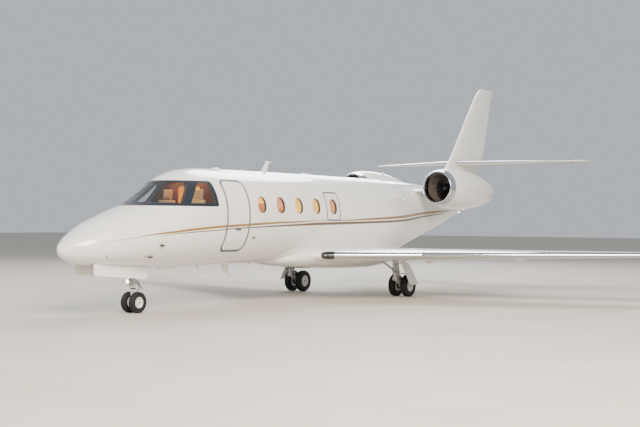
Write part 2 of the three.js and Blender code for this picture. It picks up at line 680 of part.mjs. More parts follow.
// Belly fairing, wrapped round the fuselage's underside and the wing's roots
function fairingRing([station, bottom, half, top]) {
  const sides = 18;
  const ring = [];
  for (let i = 0; i < sides; i++) {
    const angle = (2 * Math.PI * (i + 0.5)) / sides;
    const [across, up] = [Math.sin(angle), Math.cos(angle)];
    const power = 2 / 2.8;
    const reach = up > 0 ? 60 : top - bottom;
    ring.push(new THREE.Vector3(
      half * Math.sign(across) * Math.abs(across) ** power, station,
      top + reach * Math.sign(up) * Math.abs(up) ** power,
    ));
  }
  return ring;
}
const wingRoot = foilForm(WING.slice(0, 3).map(([x, leading, trailing, height, thick], row) => [
  x - (row === 0 ? 2 * SEAT_GAP : 0), leading - 2 * SEAT_GAP, trailing + 2 * SEAT_GAP, height, thick + 1.4,
]), acrossPlace);
add('belly_fairing', cut(
  loft(FAIRING.map(fairingRing)), fuselageClear, wingRoot, mirrored(wingRoot), legBay, mirrored(legBay),
), WHITE_PAINT);

// Tail section: a hollow cone, open in front
add('tail_section', cut(
  bodyForm(CABIN_END, TAIL_END), bodyForm(CABIN_END - 50, TAIL_HOLLOW_END, TAIL_SKIN),
), WHITE_PAINT);

// Fin and rudder
const finForm = foilForm(FIN, uprightPlace, EVEN_FOIL);
const finPrism = (outline) => sidePrism(outline.map(([z, station]) => [station, z]), -FAR, FAR);
const rudder = hingedSurface(FIN, EVEN_FOIL, RUDDER, finForm, finPrism, uprightPlace);
function bothTailplanes(rows) {
  const half = foilForm(rows, acrossPlace, EVEN_FOIL);
  return joined(half, mirrored(half));
}
const tailplaneClear = bothTailplanes(TAILPLANE.slice(0, 2).map(([x, leading, trailing, height, thick]) => [
  x, leading - 1, trailing + 1, height, thick + 1.4,
]));
add('fin', cut(
  finForm, rudder.lost, bodyForm(CABIN_END, TAIL_END, -SEAT_GAP), tailplaneClear,
), WHITE_PAINT);
add('rudder', rudder.moving, WHITE_PAINT);

// Tailplane and elevators
const tailplaneForm = bothTailplanes(TAILPLANE);
const elevatorPrism = (outline) => planPrism(outline, FAR, 2 * FAR);
const elevator = hingedSurface(TAILPLANE, EVEN_FOIL, ELEVATOR, tailplaneForm, elevatorPrism, acrossPlace);
add('tailplane', cut(tailplaneForm, elevator.lost, mirrored(elevator.lost)), WHITE_PAINT);
addPair('elevator', elevator.moving, WHITE_PAINT);

// Engines: lip, cowl, the engine itself as one block, and its fan on a stub of shaft
const engineAxis = new THREE.Vector3(0, NACELLE.length, -NACELLE.drop).normalize();
const onAxis = (along) => new THREE.Vector3(NACELLE.x, NACELLE.station, NACELLE.z).addScaledVector(engineAxis, along);
const onEngine = (outline, sides = NACELLE_SIDES) => turned(outline, onAxis(0), engineAxis, sides);
const closedOutline = (points) => [...points, points[0]];
addPair('intake_lip', onEngine(closedOutline(LIP_OUTLINE)), BARE_METAL);
addPair('nacelle_cowl', onEngine(closedOutline([
  [LIP_END + SEAT_GAP, LIP_OUTLINE[0][1]], ...COWL_OUTSIDE, ...COWL_INSIDE,
  [LIP_END + SEAT_GAP, LIP_OUTLINE.at(-1)[1]],
])), WHITE_PAINT);
addPair('engine_core', joined(
  onEngine([[CORE.vanes, 0], [CORE.vanes, CORE.duct], [CORE.vanes + 60, CORE.duct], [CORE.vanes + 61, 0]]),
  onEngine([[CORE.front, 0], [CORE.front, 250], [CORE.rear, CORE.radius], [CORE.tail, 60], [CORE.tail, 0]]),
  bar(onAxis(FAN.station - 20), onAxis(CORE.front + 20), FAN.shaft, FAN.shaft, AXLE_SIDES),
), STEEL);
const blades = [];
for (let i = 0; i < FAN.blades; i++) {
  const root = FAN.hub - 20;
  const blade = new THREE.BoxGeometry(FAN.radius - root, FAN.thick, FAN.chord);
  blade.rotateX(FAN.twist).translate((FAN.radius + root) / 2, 0, 0).rotateZ((2 * Math.PI * i) / FAN.blades);
  blade.applyQuaternion(new THREE.Quaternion().setFromUnitVectors(new THREE.Vector3(0, 0, 1), engineAxis));
  blades.push(solid(blade.translate(...onAxis(FAN.station))));
}
const spinner = onEngine([
  [FAN.station - 250, 0], [FAN.station - 210, 40], [FAN.station - 120, 88], [FAN.station - 40, FAN.hub],
  [FAN.station + 50, FAN.hub], [FAN.station + 50, 0],
], 14);
const shaftHole = bar(
  onAxis(FAN.station - 30), onAxis(FAN.station + 80), FAN.shaft + BORE_GAP, FAN.shaft + BORE_GAP, AXLE_SIDES,
);
addPair('fan', cut(joined(spinner, ...blades), shaftHole), STEEL);

// Pylons, from the tail section's side to the cowl
const pylonForm = loft([PYLON.inner, PYLON.outer].map((x) => PYLON.section.map(([chord, rise]) => (
  new THREE.Vector3(x, PYLON.front + chord * PYLON.chord, PYLON.z - chord * PYLON.drop + rise)
))));
const nacelleClear = onEngine([
  [0, 0], [LIP_END, LIP_OUTLINE[0][1] + 0.6], ...COWL_OUTSIDE.map(([along, r]) => [along, r + 0.6]),
  [NACELLE.length + 10, 0],
]);
addPair('pylon', cut(pylonForm, nacelleClear, bodyForm(CABIN_END, TAIL_END, -SEAT_GAP)), WHITE_PAINT);

// Wheels: a tyre as a ring, and the twin hubs on one live axle
function tyre(x, station, { radius, width, rim }) {
  const w = width / 2;
  const wall = rim + (radius - rim) * 0.5;
  return turned(closedOutline([
    [-w * 0.72, rim], [-w, wall], [-w * 0.84, radius * 0.95], [-w * 0.5, radius],
    [w * 0.5, radius], [w * 0.84, radius * 0.95], [w, wall], [w * 0.72, rim],
  ]), [x, station, radius], [1, 0, 0], TYRE_SIDES);
}
function hubs(x, station, { radius, width, half, rim, axle }) {
  const w = width / 2;
  const r = rim - SEAT_GAP;
  const [inner, outer] = [-1, 1].map((side) => turned([
    [-w * 0.4, 0], [-w * 0.6, r], [w * 0.6, r], [w * 0.4, 0],
  ], [x + side * half, station, radius], [1, 0, 0], TYRE_SIDES));
  const reach = half + w * 0.6;
  return joined(inner, outer, bar([x - reach, station, radius], [x + reach, station, radius], axle, axle, AXLE_SIDES));
}
// The boss that an axle turns in, as its outside and its bore
function boss(x, station, { radius, axle, boss: half }) {
  const along = (reach, r) => bar([x - reach, station, radius], [x + reach, station, radius], r, r, AXLE_SIDES);
  return { ring: along(half, axle + 20), bore: along(half + 5, axle + BORE_GAP) };
}

// Nose gear: the leg with its drag strut and trunnions, and the steered fork below it
const nose = NOSE_GEAR;
const noseAxle = nose.station + nose.trail;
const bayWall = GEAR_BAY.half - SEAT_GAP;
add('nose_leg', joined(
  bar([0, nose.station, nose.split], [0, nose.station, GEAR_BAY.roof - SEAT_GAP], 52),
  bar([-bayWall, nose.station, 1080], [bayWall, nose.station, 1080], 26),
  bar([0, nose.station - 30, 720], [0, nose.strut, 1130], 20),
  bar([-bayWall, nose.strut, 1130], [bayWall, nose.strut, 1130], 20),
  block([-70, nose.station - 70, 700], [70, nose.station + 60, 780]),
), STEEL);
const noseBoss = boss(0, noseAxle, nose);
add('nose_fork', cut(joined(
  bar([0, nose.station, 250], [0, nose.station, nose.split - SEAT_GAP], 36),
  block([-34, nose.station - 36, 215], [34, noseAxle + 34, 300]),
  noseBoss.ring,
), noseBoss.bore), STEEL);
add('nose_hubs', hubs(0, noseAxle, nose), BARE_METAL);
add('nose_tyre_port', tyre(nose.half, noseAxle, nose), RUBBER);
add('nose_tyre_starboard', tyre(-nose.half, noseAxle, nose), RUBBER);
const bellyAt = (station) => smooth(BODY, 2, station, Math.sqrt);
const noseDoor = sidePrism([
  [NOSE_DOOR.front, bellyAt(NOSE_DOOR.front) + 40], [NOSE_DOOR.rear, bellyAt(NOSE_DOOR.rear) + 40],
  [NOSE_DOOR.rear, NOSE_DOOR.rearLow], [NOSE_DOOR.front, NOSE_DOOR.frontLow],
], NOSE_DOOR.x, NOSE_DOOR.x + NOSE_DOOR.thick);
addPair('nose_gear_door', cut(noseDoor, bodyForm(300, COCKPIT_END, -SEAT_GAP)), WHITE_PAINT);

// Main gear: a leg with a trailing arm and its shock strut, and a door splayed outboard of the leg on two links
const main = MAIN_GEAR;
const mainBoss = boss(main.x, main.station, main);
const doorInside = (z) => main.x + MAIN_DOOR.gap + (MAIN_DOOR.outline[0][1] - z) * MAIN_DOOR.splay;
const outboardOfDoor = endPrism([
  [doorInside(LEG_BAY.roof) - SEAT_GAP, LEG_BAY.roof], [FAR, LEG_BAY.roof], [FAR, 0], [doorInside(0) - SEAT_GAP, 0],
], main.leg, main.station);
const doorLinks = MAIN_DOOR.links.map((z) => bar(
  [main.x, main.leg, z], [doorInside(z) + 20, main.leg + 100, z], 12,
));
addPair('main_leg', cut(joined(
  cut(joined(...doorLinks), outboardOfDoor),
  bar([main.x, main.leg, main.knee - 30], [main.x, main.leg, LEG_BAY.roof - SEAT_GAP], 62),
  bar([main.x - 60, main.leg, main.knee], [main.x + 60, main.leg, main.knee], 42),
  bar([main.x, main.leg, main.knee], [main.x, main.station, main.radius + 10], 44),
  bar([main.x, main.leg + 50, 900], [main.x, main.station - 110, 350], 30),
  bar([main.x, main.leg, 620], [LEG_BAY.inner + 30, main.leg, 925], 26),
  mainBoss.ring,
), mainBoss.bore), STEEL);
addPair('main_hubs', hubs(main.x, main.station, main), BARE_METAL);
addPair('main_tyre_inner', tyre(main.x - main.half, main.station, main), RUBBER);
addPair('main_tyre_outer', tyre(main.x + main.half, main.station, main), RUBBER);
const legDoor = [0, MAIN_DOOR.thick].map((offset) => MAIN_DOOR.outline.map(([aft, z]) => (
  new THREE.Vector3(doorInside(z) + offset, main.leg + aft, z)
)));
addPair('main_gear_door', loft(legDoor), WHITE_PAINT);

// The stations are counted from the nose, and the frame's origin lies under the middle
group.position.y = -LENGTH / 2;

export default group;
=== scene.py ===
# %% [markdown]
# # A twin-engined business jet
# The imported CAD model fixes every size, place and joint.
# Here its flat facets get smooth skins, glass, paint, metal and rubber,
# so that it looks like the real aircraft.
# All lengths are metres in the CAD's own frame: the nose points to -Y, port is +X, and Z is up.

# %% Load the frame
import math

import bmesh
import bpy
import numpy as np
from mathutils import Matrix, Vector
from mathutils.bvhtree import BVHTree
from mathutils.interpolate import poly_3d_calc


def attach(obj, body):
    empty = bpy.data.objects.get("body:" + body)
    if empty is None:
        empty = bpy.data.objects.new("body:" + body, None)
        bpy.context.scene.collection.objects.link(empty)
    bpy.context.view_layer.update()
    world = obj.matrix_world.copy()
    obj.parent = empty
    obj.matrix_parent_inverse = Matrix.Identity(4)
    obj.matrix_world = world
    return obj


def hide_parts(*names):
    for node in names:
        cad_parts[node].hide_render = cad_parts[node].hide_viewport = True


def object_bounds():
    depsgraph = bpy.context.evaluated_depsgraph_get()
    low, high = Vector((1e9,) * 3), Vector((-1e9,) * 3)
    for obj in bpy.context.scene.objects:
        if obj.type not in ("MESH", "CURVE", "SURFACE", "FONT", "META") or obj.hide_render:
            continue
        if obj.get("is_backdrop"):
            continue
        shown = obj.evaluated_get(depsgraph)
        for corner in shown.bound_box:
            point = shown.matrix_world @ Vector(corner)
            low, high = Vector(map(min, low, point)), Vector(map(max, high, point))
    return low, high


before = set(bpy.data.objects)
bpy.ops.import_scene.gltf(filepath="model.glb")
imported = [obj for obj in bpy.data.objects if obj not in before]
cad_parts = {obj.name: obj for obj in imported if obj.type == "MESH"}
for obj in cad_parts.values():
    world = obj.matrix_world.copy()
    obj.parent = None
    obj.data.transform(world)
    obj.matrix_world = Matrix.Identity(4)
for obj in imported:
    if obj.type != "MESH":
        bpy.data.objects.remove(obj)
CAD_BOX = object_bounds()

# %% [markdown]
# ## The camera first
# The photograph was taken from ahead and to port, at eye height, with a short telephoto lens.
# The camera is built from its own three directions, because a yaw and a roll in degrees are easy to mix up.

# %% Camera
CAMERA_AT = Vector((14.700, -21.584, 1.732))
YAW = math.radians(34.99)
PITCH = math.radians(0.52)
ROLL = math.radians(0.35)
LENS = 60.55

ahead = Vector((-math.sin(YAW) * math.cos(PITCH), math.cos(YAW) * math.cos(PITCH), math.sin(PITCH)))
UP = Vector((0, 0, 1))
level_right = ahead.cross(UP).normalized()
level_up = level_right.cross(ahead)
right = level_right * math.cos(ROLL) + level_up * math.sin(ROLL)
up = level_up * math.cos(ROLL) - level_right * math.sin(ROLL)
camera_data = bpy.data.cameras.new("photo_camera")
camera_data.lens = LENS
camera_data.sensor_width = 36
camera_data.clip_end = 200
camera = bpy.data.objects.new("photo_camera", camera_data)
camera.matrix_world = Matrix.Translation(CAMERA_AT) @ Matrix((right, up, -ahead)).transposed().to_4x4()
bpy.context.scene.collection.objects.link(camera)
bpy.context.scene.camera = camera
print("camera", tuple(round(v, 2) for v in CAMERA_AT))

# %% [markdown]
# ## Small helpers
# A station is a distance aft of the nose tip, in millimetres, as on an aircraft drawing.
# Every table below is in millimetres too, and one factor turns them to metres.

# %% Stations and meshes
MM = 0.001
HALF_LENGTH = 8650.0


def place(x, station, z):
    """A point of the drawing, in millimetres, as a place in the scene, in metres."""
    return Vector((x * MM, (station - HALF_LENGTH) * MM, z * MM))


def linked(name, data):
    obj = bpy.data.objects.new(name, data)
    bpy.context.scene.collection.objects.link(obj)
    return obj


def made(name, points, faces):
    mesh = bpy.data.meshes.new(name)
    mesh.from_pydata([tuple(p) for p in points], [], [tuple(int(i) for i in f) for f in faces])
    return linked(name, mesh)


def healed(obj, angle=32.0, recalc=True):
    """Doubles merged, faces turned outwards, and edges sharper than the angle kept crisp."""
    bm = bmesh.new()
    bm.from_mesh(obj.data)
    bmesh.ops.remove_doubles(bm, verts=bm.verts, dist=1e-5)
    bmesh.ops.dissolve_degenerate(bm, edges=bm.edges, dist=1e-6)
    if recalc:
        bmesh.ops.recalc_face_normals(bm, faces=bm.faces)
    bm.to_mesh(obj.data)
    bm.free()
    obj.data.polygons.foreach_set("use_smooth", [True] * len(obj.data.polygons))
    obj.data.set_sharp_from_angle(angle=math.radians(angle))
    return obj


def baked(obj):
    """The modifiers' result as a plain mesh, with no modifier left."""
    bpy.context.view_layer.update()
    result = obj.evaluated_get(bpy.context.evaluated_depsgraph_get())
    mesh = bpy.data.meshes.new_from_object(result)
    obj.modifiers.clear()
    obj.data = mesh
    return obj


def carved(obj, *tools, operation="DIFFERENCE"):
    """A Boolean with each tool in turn; the tools are used up."""
    for tool in tools:
        cutter = obj.modifiers.new("cut", "BOOLEAN")
        cutter.operation = operation
        cutter.solver = "EXACT"
        cutter.object = tool
        baked(obj)
        bpy.data.objects.remove(tool)
    return obj


def copied(obj, name, mirror=False):
    twin = linked(name, obj.data.copy())
    if mirror:
        twin.data.transform(Matrix.Scale(-1, 4, (1, 0, 0)))
        twin.data.flip_normals()
    return twin


def joined(name, *parts):
    """Several meshes as one; the parts are used up."""
    points, faces, finishes, slots = [], [], [], []
    for part in parts:
        first = len(points)
        points += [tuple(v.co) for v in part.data.vertices]
        for polygon in part.data.polygons:
            faces.append([first + i for i in polygon.vertices])
            material = part.data.materials[polygon.material_index] if part.data.materials else None
            if material not in finishes:
                finishes.append(material)
            slots.append(finishes.index(material))
        bpy.data.objects.remove(part)
    obj = made(name, points, faces)
    if finishes != [None]:
        for material in finishes:
            obj.data.materials.append(material)
        obj.data.polygons.foreach_set("material_index", slots)
    return obj


# %% [markdown]
# ## Lofts, prisms, turnings and bars
# Almost every aircraft surface is a row of sections joined by a skin, which is a loft.
# A lathe turns the engines and wheels, and prisms cut the openings.

# %% Shape makers
def loft(name, rings):
    """A skin through rings of points, closed at both ends."""
    rings = np.asarray(rings, float)
    count, sides = rings.shape[:2]
    faces = band_faces(count, sides)
    faces.append(tuple(reversed(range(sides))))
    faces.append(tuple(range((count - 1) * sides, count * sides)))
    return made(name, rings.reshape(-1, 3), faces)


def band_faces(count, sides, closed=True):
    """The four-sided faces between rings of points that follow each other."""
    faces = []
    for r in range(count - 1):
        for i in range(sides if closed else sides - 1):
            a, b = r * sides + i, r * sides + (i + 1) % sides
            faces.append((a, b, b + sides, a + sides))
    return faces


def prism(name, outline, along, start, end):
    """An outline pushed along x, along the stations (s) or along z."""
    first = {"x": 0, "s": 1, "z": 2}[along]
    rings = [[place(*p[:first], v, *p[first:]) for p in outline] for v in (start, end)]
    return healed(loft(name, rings))


def turned(name, outline, origin, axis, sides=64):
    """A lathe: the outline holds distances along the axis and radii, in millimetres."""
    axis = Vector(axis).normalized()
    side = axis.orthogonal().normalized() if abs(axis.z) > 0.9 else axis.cross(UP).normalized()
    other = axis.cross(side)
    points = []
    for along, radius in outline:
        for i in range(sides):
            angle = math.radians(360.0 * i / sides)
            out = (side * math.cos(angle) + other * math.sin(angle)) * radius * MM
            points.append(Vector(origin) + axis * along * MM + out)
    return healed(made(name, points, band_faces(len(outline), sides)))


def bar(name, start, end, radius, end_radius=None, sides=24, bevel=2.0):
    """A round bar between two places, with small chamfers at its ends."""
    start, end = Vector(start), Vector(end)
    length = (end - start).length / MM
    last = radius if end_radius is None else end_radius
    outline = [
        (0, 0), (0, radius - bevel), (bevel, radius), (length - bevel, last), (length, last - bevel),
        (length, 0),
    ]
    return turned(name, outline, start, end - start, sides)


def rounded(left, right, bottom, top, radius, steps=10):
    """The outline of a rectangle with round corners."""
    outline = []
    for u, v, first in ((right, top, 0), (left, top, 90), (left, bottom, 180), (right, bottom, 270)):
        centre_u = u - math.copysign(radius, u - (left + right) / 2)
        centre_v = v - math.copysign(radius, v - (bottom + top) / 2)
        for i in range(steps + 1):
            angle = math.radians(first + 90 * i / steps)
            outline.append((centre_u + radius * math.cos(angle), centre_v + radius * math.sin(angle)))
    return outline


def block(name, spot, bevel, segments=2):
    """A cube with rounded edges; spot moves each corner of the unit cube to its place."""
    bm = bmesh.new()
    bmesh.ops.create_cube(bm, size=1)
    for vertex in bm.verts:
        vertex.co = spot(vertex.co)
    bmesh.ops.bevel(bm, geom=bm.edges[:], offset=bevel, segments=segments, affect="EDGES", profile=0.5)
    mesh = bpy.data.meshes.new(name)
    bm.to_mesh(mesh)
    bm.free()
    return linked(name, mesh)


def plate(name, low, high, radius=6.0, segments=2):
    """A block between two corners in millimetres, its edges rounded."""
    a, b = place(*low), place(*high)

    def spot(corner):
        return Vector([(p + q) / 2 + (q - p) * c for p, q, c in zip(a, b, corner)])
    return healed(block(name, spot, radius * MM, segments), 50)

# %% [markdown]
# ## Smooth curves through a table
# A table row fixes a section, and a curve between the rows gives the rest.
# The curve is a monotone Hermite one: it never swings past a row, so a nose stays fair.

# %% Tables
def table_value(table, column, at, warp=None):
    """A table's column between its rows, on a smooth curve that never overshoots them."""
    warp = warp or (lambda v: v)
    rows = np.asarray([[row[0], row[column]] for row in table], float)
    u, v = warp(rows[:, 0]), rows[:, 1]
    slopes = np.diff(v) / np.diff(u)
    tangents = np.zeros(len(u))
    tangents[0], tangents[-1] = slopes[0], slopes[-1]
    before, after = slopes[:-1], slopes[1:]
    same = before * after > 0
    tangents[1:-1][same] = 2 * before[same] * after[same] / (before[same] + after[same])
    x = np.clip(warp(np.asarray(at, float)), u[0], u[-1])
    i = np.clip(np.searchsorted(u, x) - 1, 0, len(u) - 2)
    span = u[i + 1] - u[i]
    t = (x - u[i]) / span
    t2, t3 = t * t, t * t * t
    return (v[i] * (2 * t3 - 3 * t2 + 1) + tangents[i] * span * (t3 - 2 * t2 + t)
            + v[i + 1] * (3 * t2 - 2 * t3) + tangents[i + 1] * span * (t3 - t2))


# %% [markdown]
# ## Shading that follows the uncut form
# A Boolean leaves long thin faces round an opening, and smooth shading shows them as smudges on gloss paint.
# So each cut skin takes its normals from the form before the cut, wherever it lies on that form.
# Faces off the form are the cut's edges (material 1), which on the skins take a dark painted shade, and the
# inside (material 2), for other finishes.

# %% Normals from a form
def form_of(obj):
    """What form_normal needs of a mesh: a search tree, its points, corner normals and triangles."""
    mesh = obj.data
    mesh.calc_loop_triangles()
    corners = [Vector(n.vector) for n in mesh.corner_normals]
    triangles = [(tuple(t.vertices), tuple(t.loops)) for t in mesh.loop_triangles]
    tree = BVHTree.FromPolygons([v.co for v in mesh.vertices], [t[0] for t in triangles])
    return tree, [v.co.copy() for v in mesh.vertices], corners, triangles


def form_normal(form, point):
    """The form's smooth normal nearest to a point, and how far away the form is."""
    tree, spots, corners, triangles = form
    found, _, index, distance = tree.find_nearest(point)
    verts, loops = triangles[index]
    weights = poly_3d_calc([spots[i] for i in verts], found)
    normal = sum((corners[k] * w for k, w in zip(loops, weights)), Vector())
    return normal.normalized(), distance


SAME_WAY, SAME_SIDE = 0.85, 0.5  # the least dot product of two normals
INSIDE = 0.05  # metres off the form, from where a face belongs to the inside


def shaded_like(obj, form, reach=1.5):
    """Normals from the uncut form, wherever the piece lies within reach (in millimetres) of it."""
    healed(obj, recalc=False)
    mesh = obj.data
    normals = [Vector(n.vector) for n in mesh.corner_normals]
    known = {}
    for polygon in mesh.polygons:
        normal, distance = form_normal(form, polygon.center)
        if distance > 4 * reach * MM or normal.dot(polygon.normal) < SAME_WAY:
            polygon.material_index = 2 if distance > INSIDE else 1
            continue
        for vertex, loop in zip(polygon.vertices, polygon.loop_indices):
            if vertex not in known:
                known[vertex] = form_normal(form, mesh.vertices[vertex].co)
            normal, distance = known[vertex]
            if distance < reach * MM and normal.dot(polygon.normal) > SAME_SIDE:
                normals[loop] = normal
    mesh.normals_split_custom_set([tuple(n) for n in normals])
    return obj


# %% [markdown]
# ## Colours and nodes
# Colours are picked as sRGB hex values, but Blender mixes light in linear values, so one function converts.
# One more function adds a node with its settings and links, for materials and Geometry Nodes alike.

# %% Colour and node helpers
def hex_colour(text):
    parts = [int(text[i:i + 2], 16) / 255 for i in (0, 2, 4)]
    return tuple(c / 12.92 if c <= 0.04045 else ((c + 0.055) / 1.055) ** 2.4 for c in parts) + (1.0,)


def add_node(tree, kind, inputs=None, **settings):
    """A node with its settings and its inputs: a value, a socket, or a node whose first output is meant."""
    node = tree.nodes.new(kind)
    for name, value in settings.items():
        setattr(node, name, value)
    for socket, value in (inputs or {}).items():
        if isinstance(value, bpy.types.Node):
            value = value.outputs[0]
        if isinstance(value, bpy.types.NodeSocket):
            tree.links.new(value, node.inputs[socket])
        else:
            node.inputs[socket].default_value = value
    return node


def new_finish(name, colour, **sockets):
    """A material with its plain values set; returns it, its tree, its shader and the Object coordinates."""
    material = bpy.data.materials.new(name)
    material.use_nodes = True
    tree = material.node_tree
    shader = tree.nodes["Principled BSDF"]
    shader.inputs["Base Color"].default_value = hex_colour(colour)
    material.diffuse_color = hex_colour(colour)
    for socket, value in sockets.items():
        shader.inputs[socket.replace("_", " ")].default_value = value
    return material, tree, shader, add_node(tree, "ShaderNodeTexCoord").outputs["Object"]


def speckled(name, colour, darker, scale, bump=0.0, depth=0.001, roughness=None, glow=None, **sockets):
    """A finish whose colour, roughness and height vary gently, all from one noise on Object coordinates."""
    material, tree, shader, spot = new_finish(name, colour, **sockets)
    noise = add_node(tree, "ShaderNodeTexNoise", {"Vector": spot, "Scale": scale, "Detail": 4.0})
    ramp = add_node(tree, "ShaderNodeMapRange", {"Value": noise, "From Min": 0.3, "From Max": 0.7})
    tints = {"Factor": ramp, 6: hex_colour(colour), 7: hex_colour(darker)}
    mix = add_node(tree, "ShaderNodeMix", tints, data_type="RGBA")
    tree.links.new(mix.outputs[2], shader.inputs["Base Color"])
    if roughness:
        span = {"Value": noise, "To Min": roughness[0], "To Max": roughness[1]}
        rough = add_node(tree, "ShaderNodeMapRange", span)
        tree.links.new(rough.outputs[0], shader.inputs["Roughness"])
    if bump:
        relief = add_node(tree, "ShaderNodeBump", {"Height": noise, "Strength": bump, "Distance": depth})
        tree.links.new(relief.outputs[0], shader.inputs["Normal"])
    if glow:
        shader.inputs["Emission Color"].default_value = hex_colour(glow)
    return material


# %% [markdown]
# ## Gloss white paint with its cheat lines
# An aircraft topcoat is two-pack polyurethane, sprayed and left glossy: white pigment under a clear film.
# The gold and the grey-brown line along each side are masked and sprayed on, so they belong to the paint.
# A curve gives each line's height at every station, and a second curve its width.
# The dark frame round the cockpit panes is a band of the same paint, from sill height to brow height.

# %% Paint
GOLD_LINE = [  # station, height of its middle, width
    (700, 1380, 4), (1120, 1430, 10), (1420, 1480, 16), (1750, 1520, 30), (2100, 1550, 42),
    (2470, 1590, 48), (2870, 1620, 50), (3290, 1650, 50), (3900, 1680, 50), (4540, 1710, 48),
    (5220, 1740, 42), (5930, 1760, 32), (6350, 1780, 20), (7000, 1790, 12), (7540, 1798, 20),
    (8380, 1826, 38), (10220, 1900, 62), (11750, 2004, 68), (13130, 2074, 42), (14000, 2110, 4),
]
BROWN_LINE = [
    (1700, 1462, 4), (1870, 1490, 10), (2230, 1520, 16), (2740, 1556, 20), (3310, 1586, 22),
    (3910, 1624, 24), (4550, 1646, 28), (5230, 1674, 36), (5940, 1696, 46), (6600, 1718, 58),
    (7300, 1732, 60), (8400, 1754, 56), (10220, 1806, 48), (11750, 1912, 40), (13130, 2010, 20),
    (13900, 2056, 4),
]
SCREEN_BAND = {"low": 2045, "high": 2557, "rear": 3283, "corner": 55}
LINE_SPAN = 15000.0
LINE_HEIGHTS = (1300.0, 2200.0)
LINE_WIDTHS = (0.0, 80.0)
SOFT = 0.002  # metres over which a masked edge fades


def line_cover(tree, along, height, line):
    """1 on a painted line and 0 off it: its height and width come from two curves."""
    values = []
    for column, (low, high) in ((1, LINE_HEIGHTS), (2, LINE_WIDTHS)):
        curve = add_node(tree, "ShaderNodeFloatCurve", {"Value": along})
        points = curve.mapping.curves[0].points
        spots = [(row[0] / LINE_SPAN, (row[column] - low) / (high - low)) for row in line]
        points[0].location = spots[0]
        points[1].location = spots[-1]
        for spot in spots[1:-1]:
            points.new(*spot)
        curve.mapping.extend = "HORIZONTAL"
        curve.mapping.update()
        span = {"Value": curve, "To Min": low * MM, "To Max": high * MM}
        values.append(add_node(tree, "ShaderNodeMapRange", span))
    away = add_node(tree, "ShaderNodeMath", {0: height, 1: values[0]}, operation="SUBTRACT")
    away = add_node(tree, "ShaderNodeMath", {0: away}, operation="ABSOLUTE")
    half = add_node(tree, "ShaderNodeMath", {0: values[1], 1: 0.5}, operation="MULTIPLY")
    inside = add_node(tree, "ShaderNodeMath", {0: half, 1: away}, operation="SUBTRACT")
    cover = add_node(tree, "ShaderNodeMapRange", {"Value": inside, "From Min": -SOFT, "From Max": SOFT})
    for end, fade in ((line[0][0] / LINE_SPAN, 0.0005), (line[-1][0] / LINE_SPAN, -0.0005)):
        span = {"Value": along, "From Min": end - fade, "From Max": end + fade}
        kept = add_node(tree, "ShaderNodeMapRange", span)
        cover = add_node(tree, "ShaderNodeMath", {0: cover, 1: kept}, operation="MULTIPLY")
    return cover


# A bare edge: its line as (x, station, slope), how deep the strip is, and where along the span it runs.
WING_EDGE = {"lines": ((1000, 6560, 0.6789), (2900, 7850, 0.46457)), "depth": 95, "from": 1050, "to": 8150}
TAIL_EDGE = {"lines": ((0, 14700, 0.41212),), "depth": 60, "from": 60, "to": 3290}


def edge_cover(tree, spot, edge):
    """1 on the bare strip along a swept leading edge, measured back from the edge's own line."""
    parts = add_node(tree, "ShaderNodeSeparateXYZ", {"Vector": spot})
    across = add_node(tree, "ShaderNodeMath", {0: parts.outputs["X"]}, operation="ABSOLUTE")
    nearest = None
    for x, station, slope in edge["lines"]:
        start = (station - HALF_LENGTH - slope * x) * MM
        line = add_node(tree, "ShaderNodeMath", {0: across, 1: slope, 2: start}, operation="MULTIPLY_ADD")
        if nearest is not None:
            line = add_node(tree, "ShaderNodeMath", {0: nearest, 1: line}, operation="MINIMUM")
        nearest = line
    back = add_node(tree, "ShaderNodeMath", {0: parts.outputs["Y"], 1: nearest}, operation="SUBTRACT")
    cover = None
    limits = ((back, edge["depth"], -1), (across, edge["from"], 1), (across, edge["to"], -1))
    for value, limit, fade in limits:
        part = add_node(tree, "ShaderNodeMapRange", {
            "Value": value, "From Min": (limit - fade) * MM, "From Max": (limit + fade) * MM,
        })
        if cover is not None:
            part = add_node(tree, "ShaderNodeMath", {0: cover, 1: part}, operation="MULTIPLY")
        cover = part
    return cover


def band_cover(tree, station, height):
    """1 on the dark frame round the panes, which is a rectangle with a round rear corner."""
    low, high, rear, corner = (SCREEN_BAND[key] * MM for key in ("low", "high", "rear", "corner"))
    up_off = add_node(tree, "ShaderNodeMath", {0: height, 1: (low + high) / 2}, operation="SUBTRACT")
    up_off = add_node(tree, "ShaderNodeMath", {0: up_off}, operation="ABSOLUTE")
    offs = []
    for value, limit in ((station, rear - HALF_LENGTH * MM - corner), (up_off, (high - low) / 2 - corner)):
        off = add_node(tree, "ShaderNodeMath", {0: value, 1: limit}, operation="SUBTRACT")
        offs.append(add_node(tree, "ShaderNodeMath", {0: off, 1: 0.0}, operation="MAXIMUM"))
    off = add_node(tree, "ShaderNodeCombineXYZ", {"X": offs[0], "Y": offs[1]})
    far = add_node(tree, "ShaderNodeVectorMath", {0: off}, operation="LENGTH").outputs["Value"]
    return add_node(tree, "ShaderNodeMapRange", {
        "Value": far, "From Min": corner + 0.75 * SOFT, "From Max": corner - 0.75 * SOFT,
    })


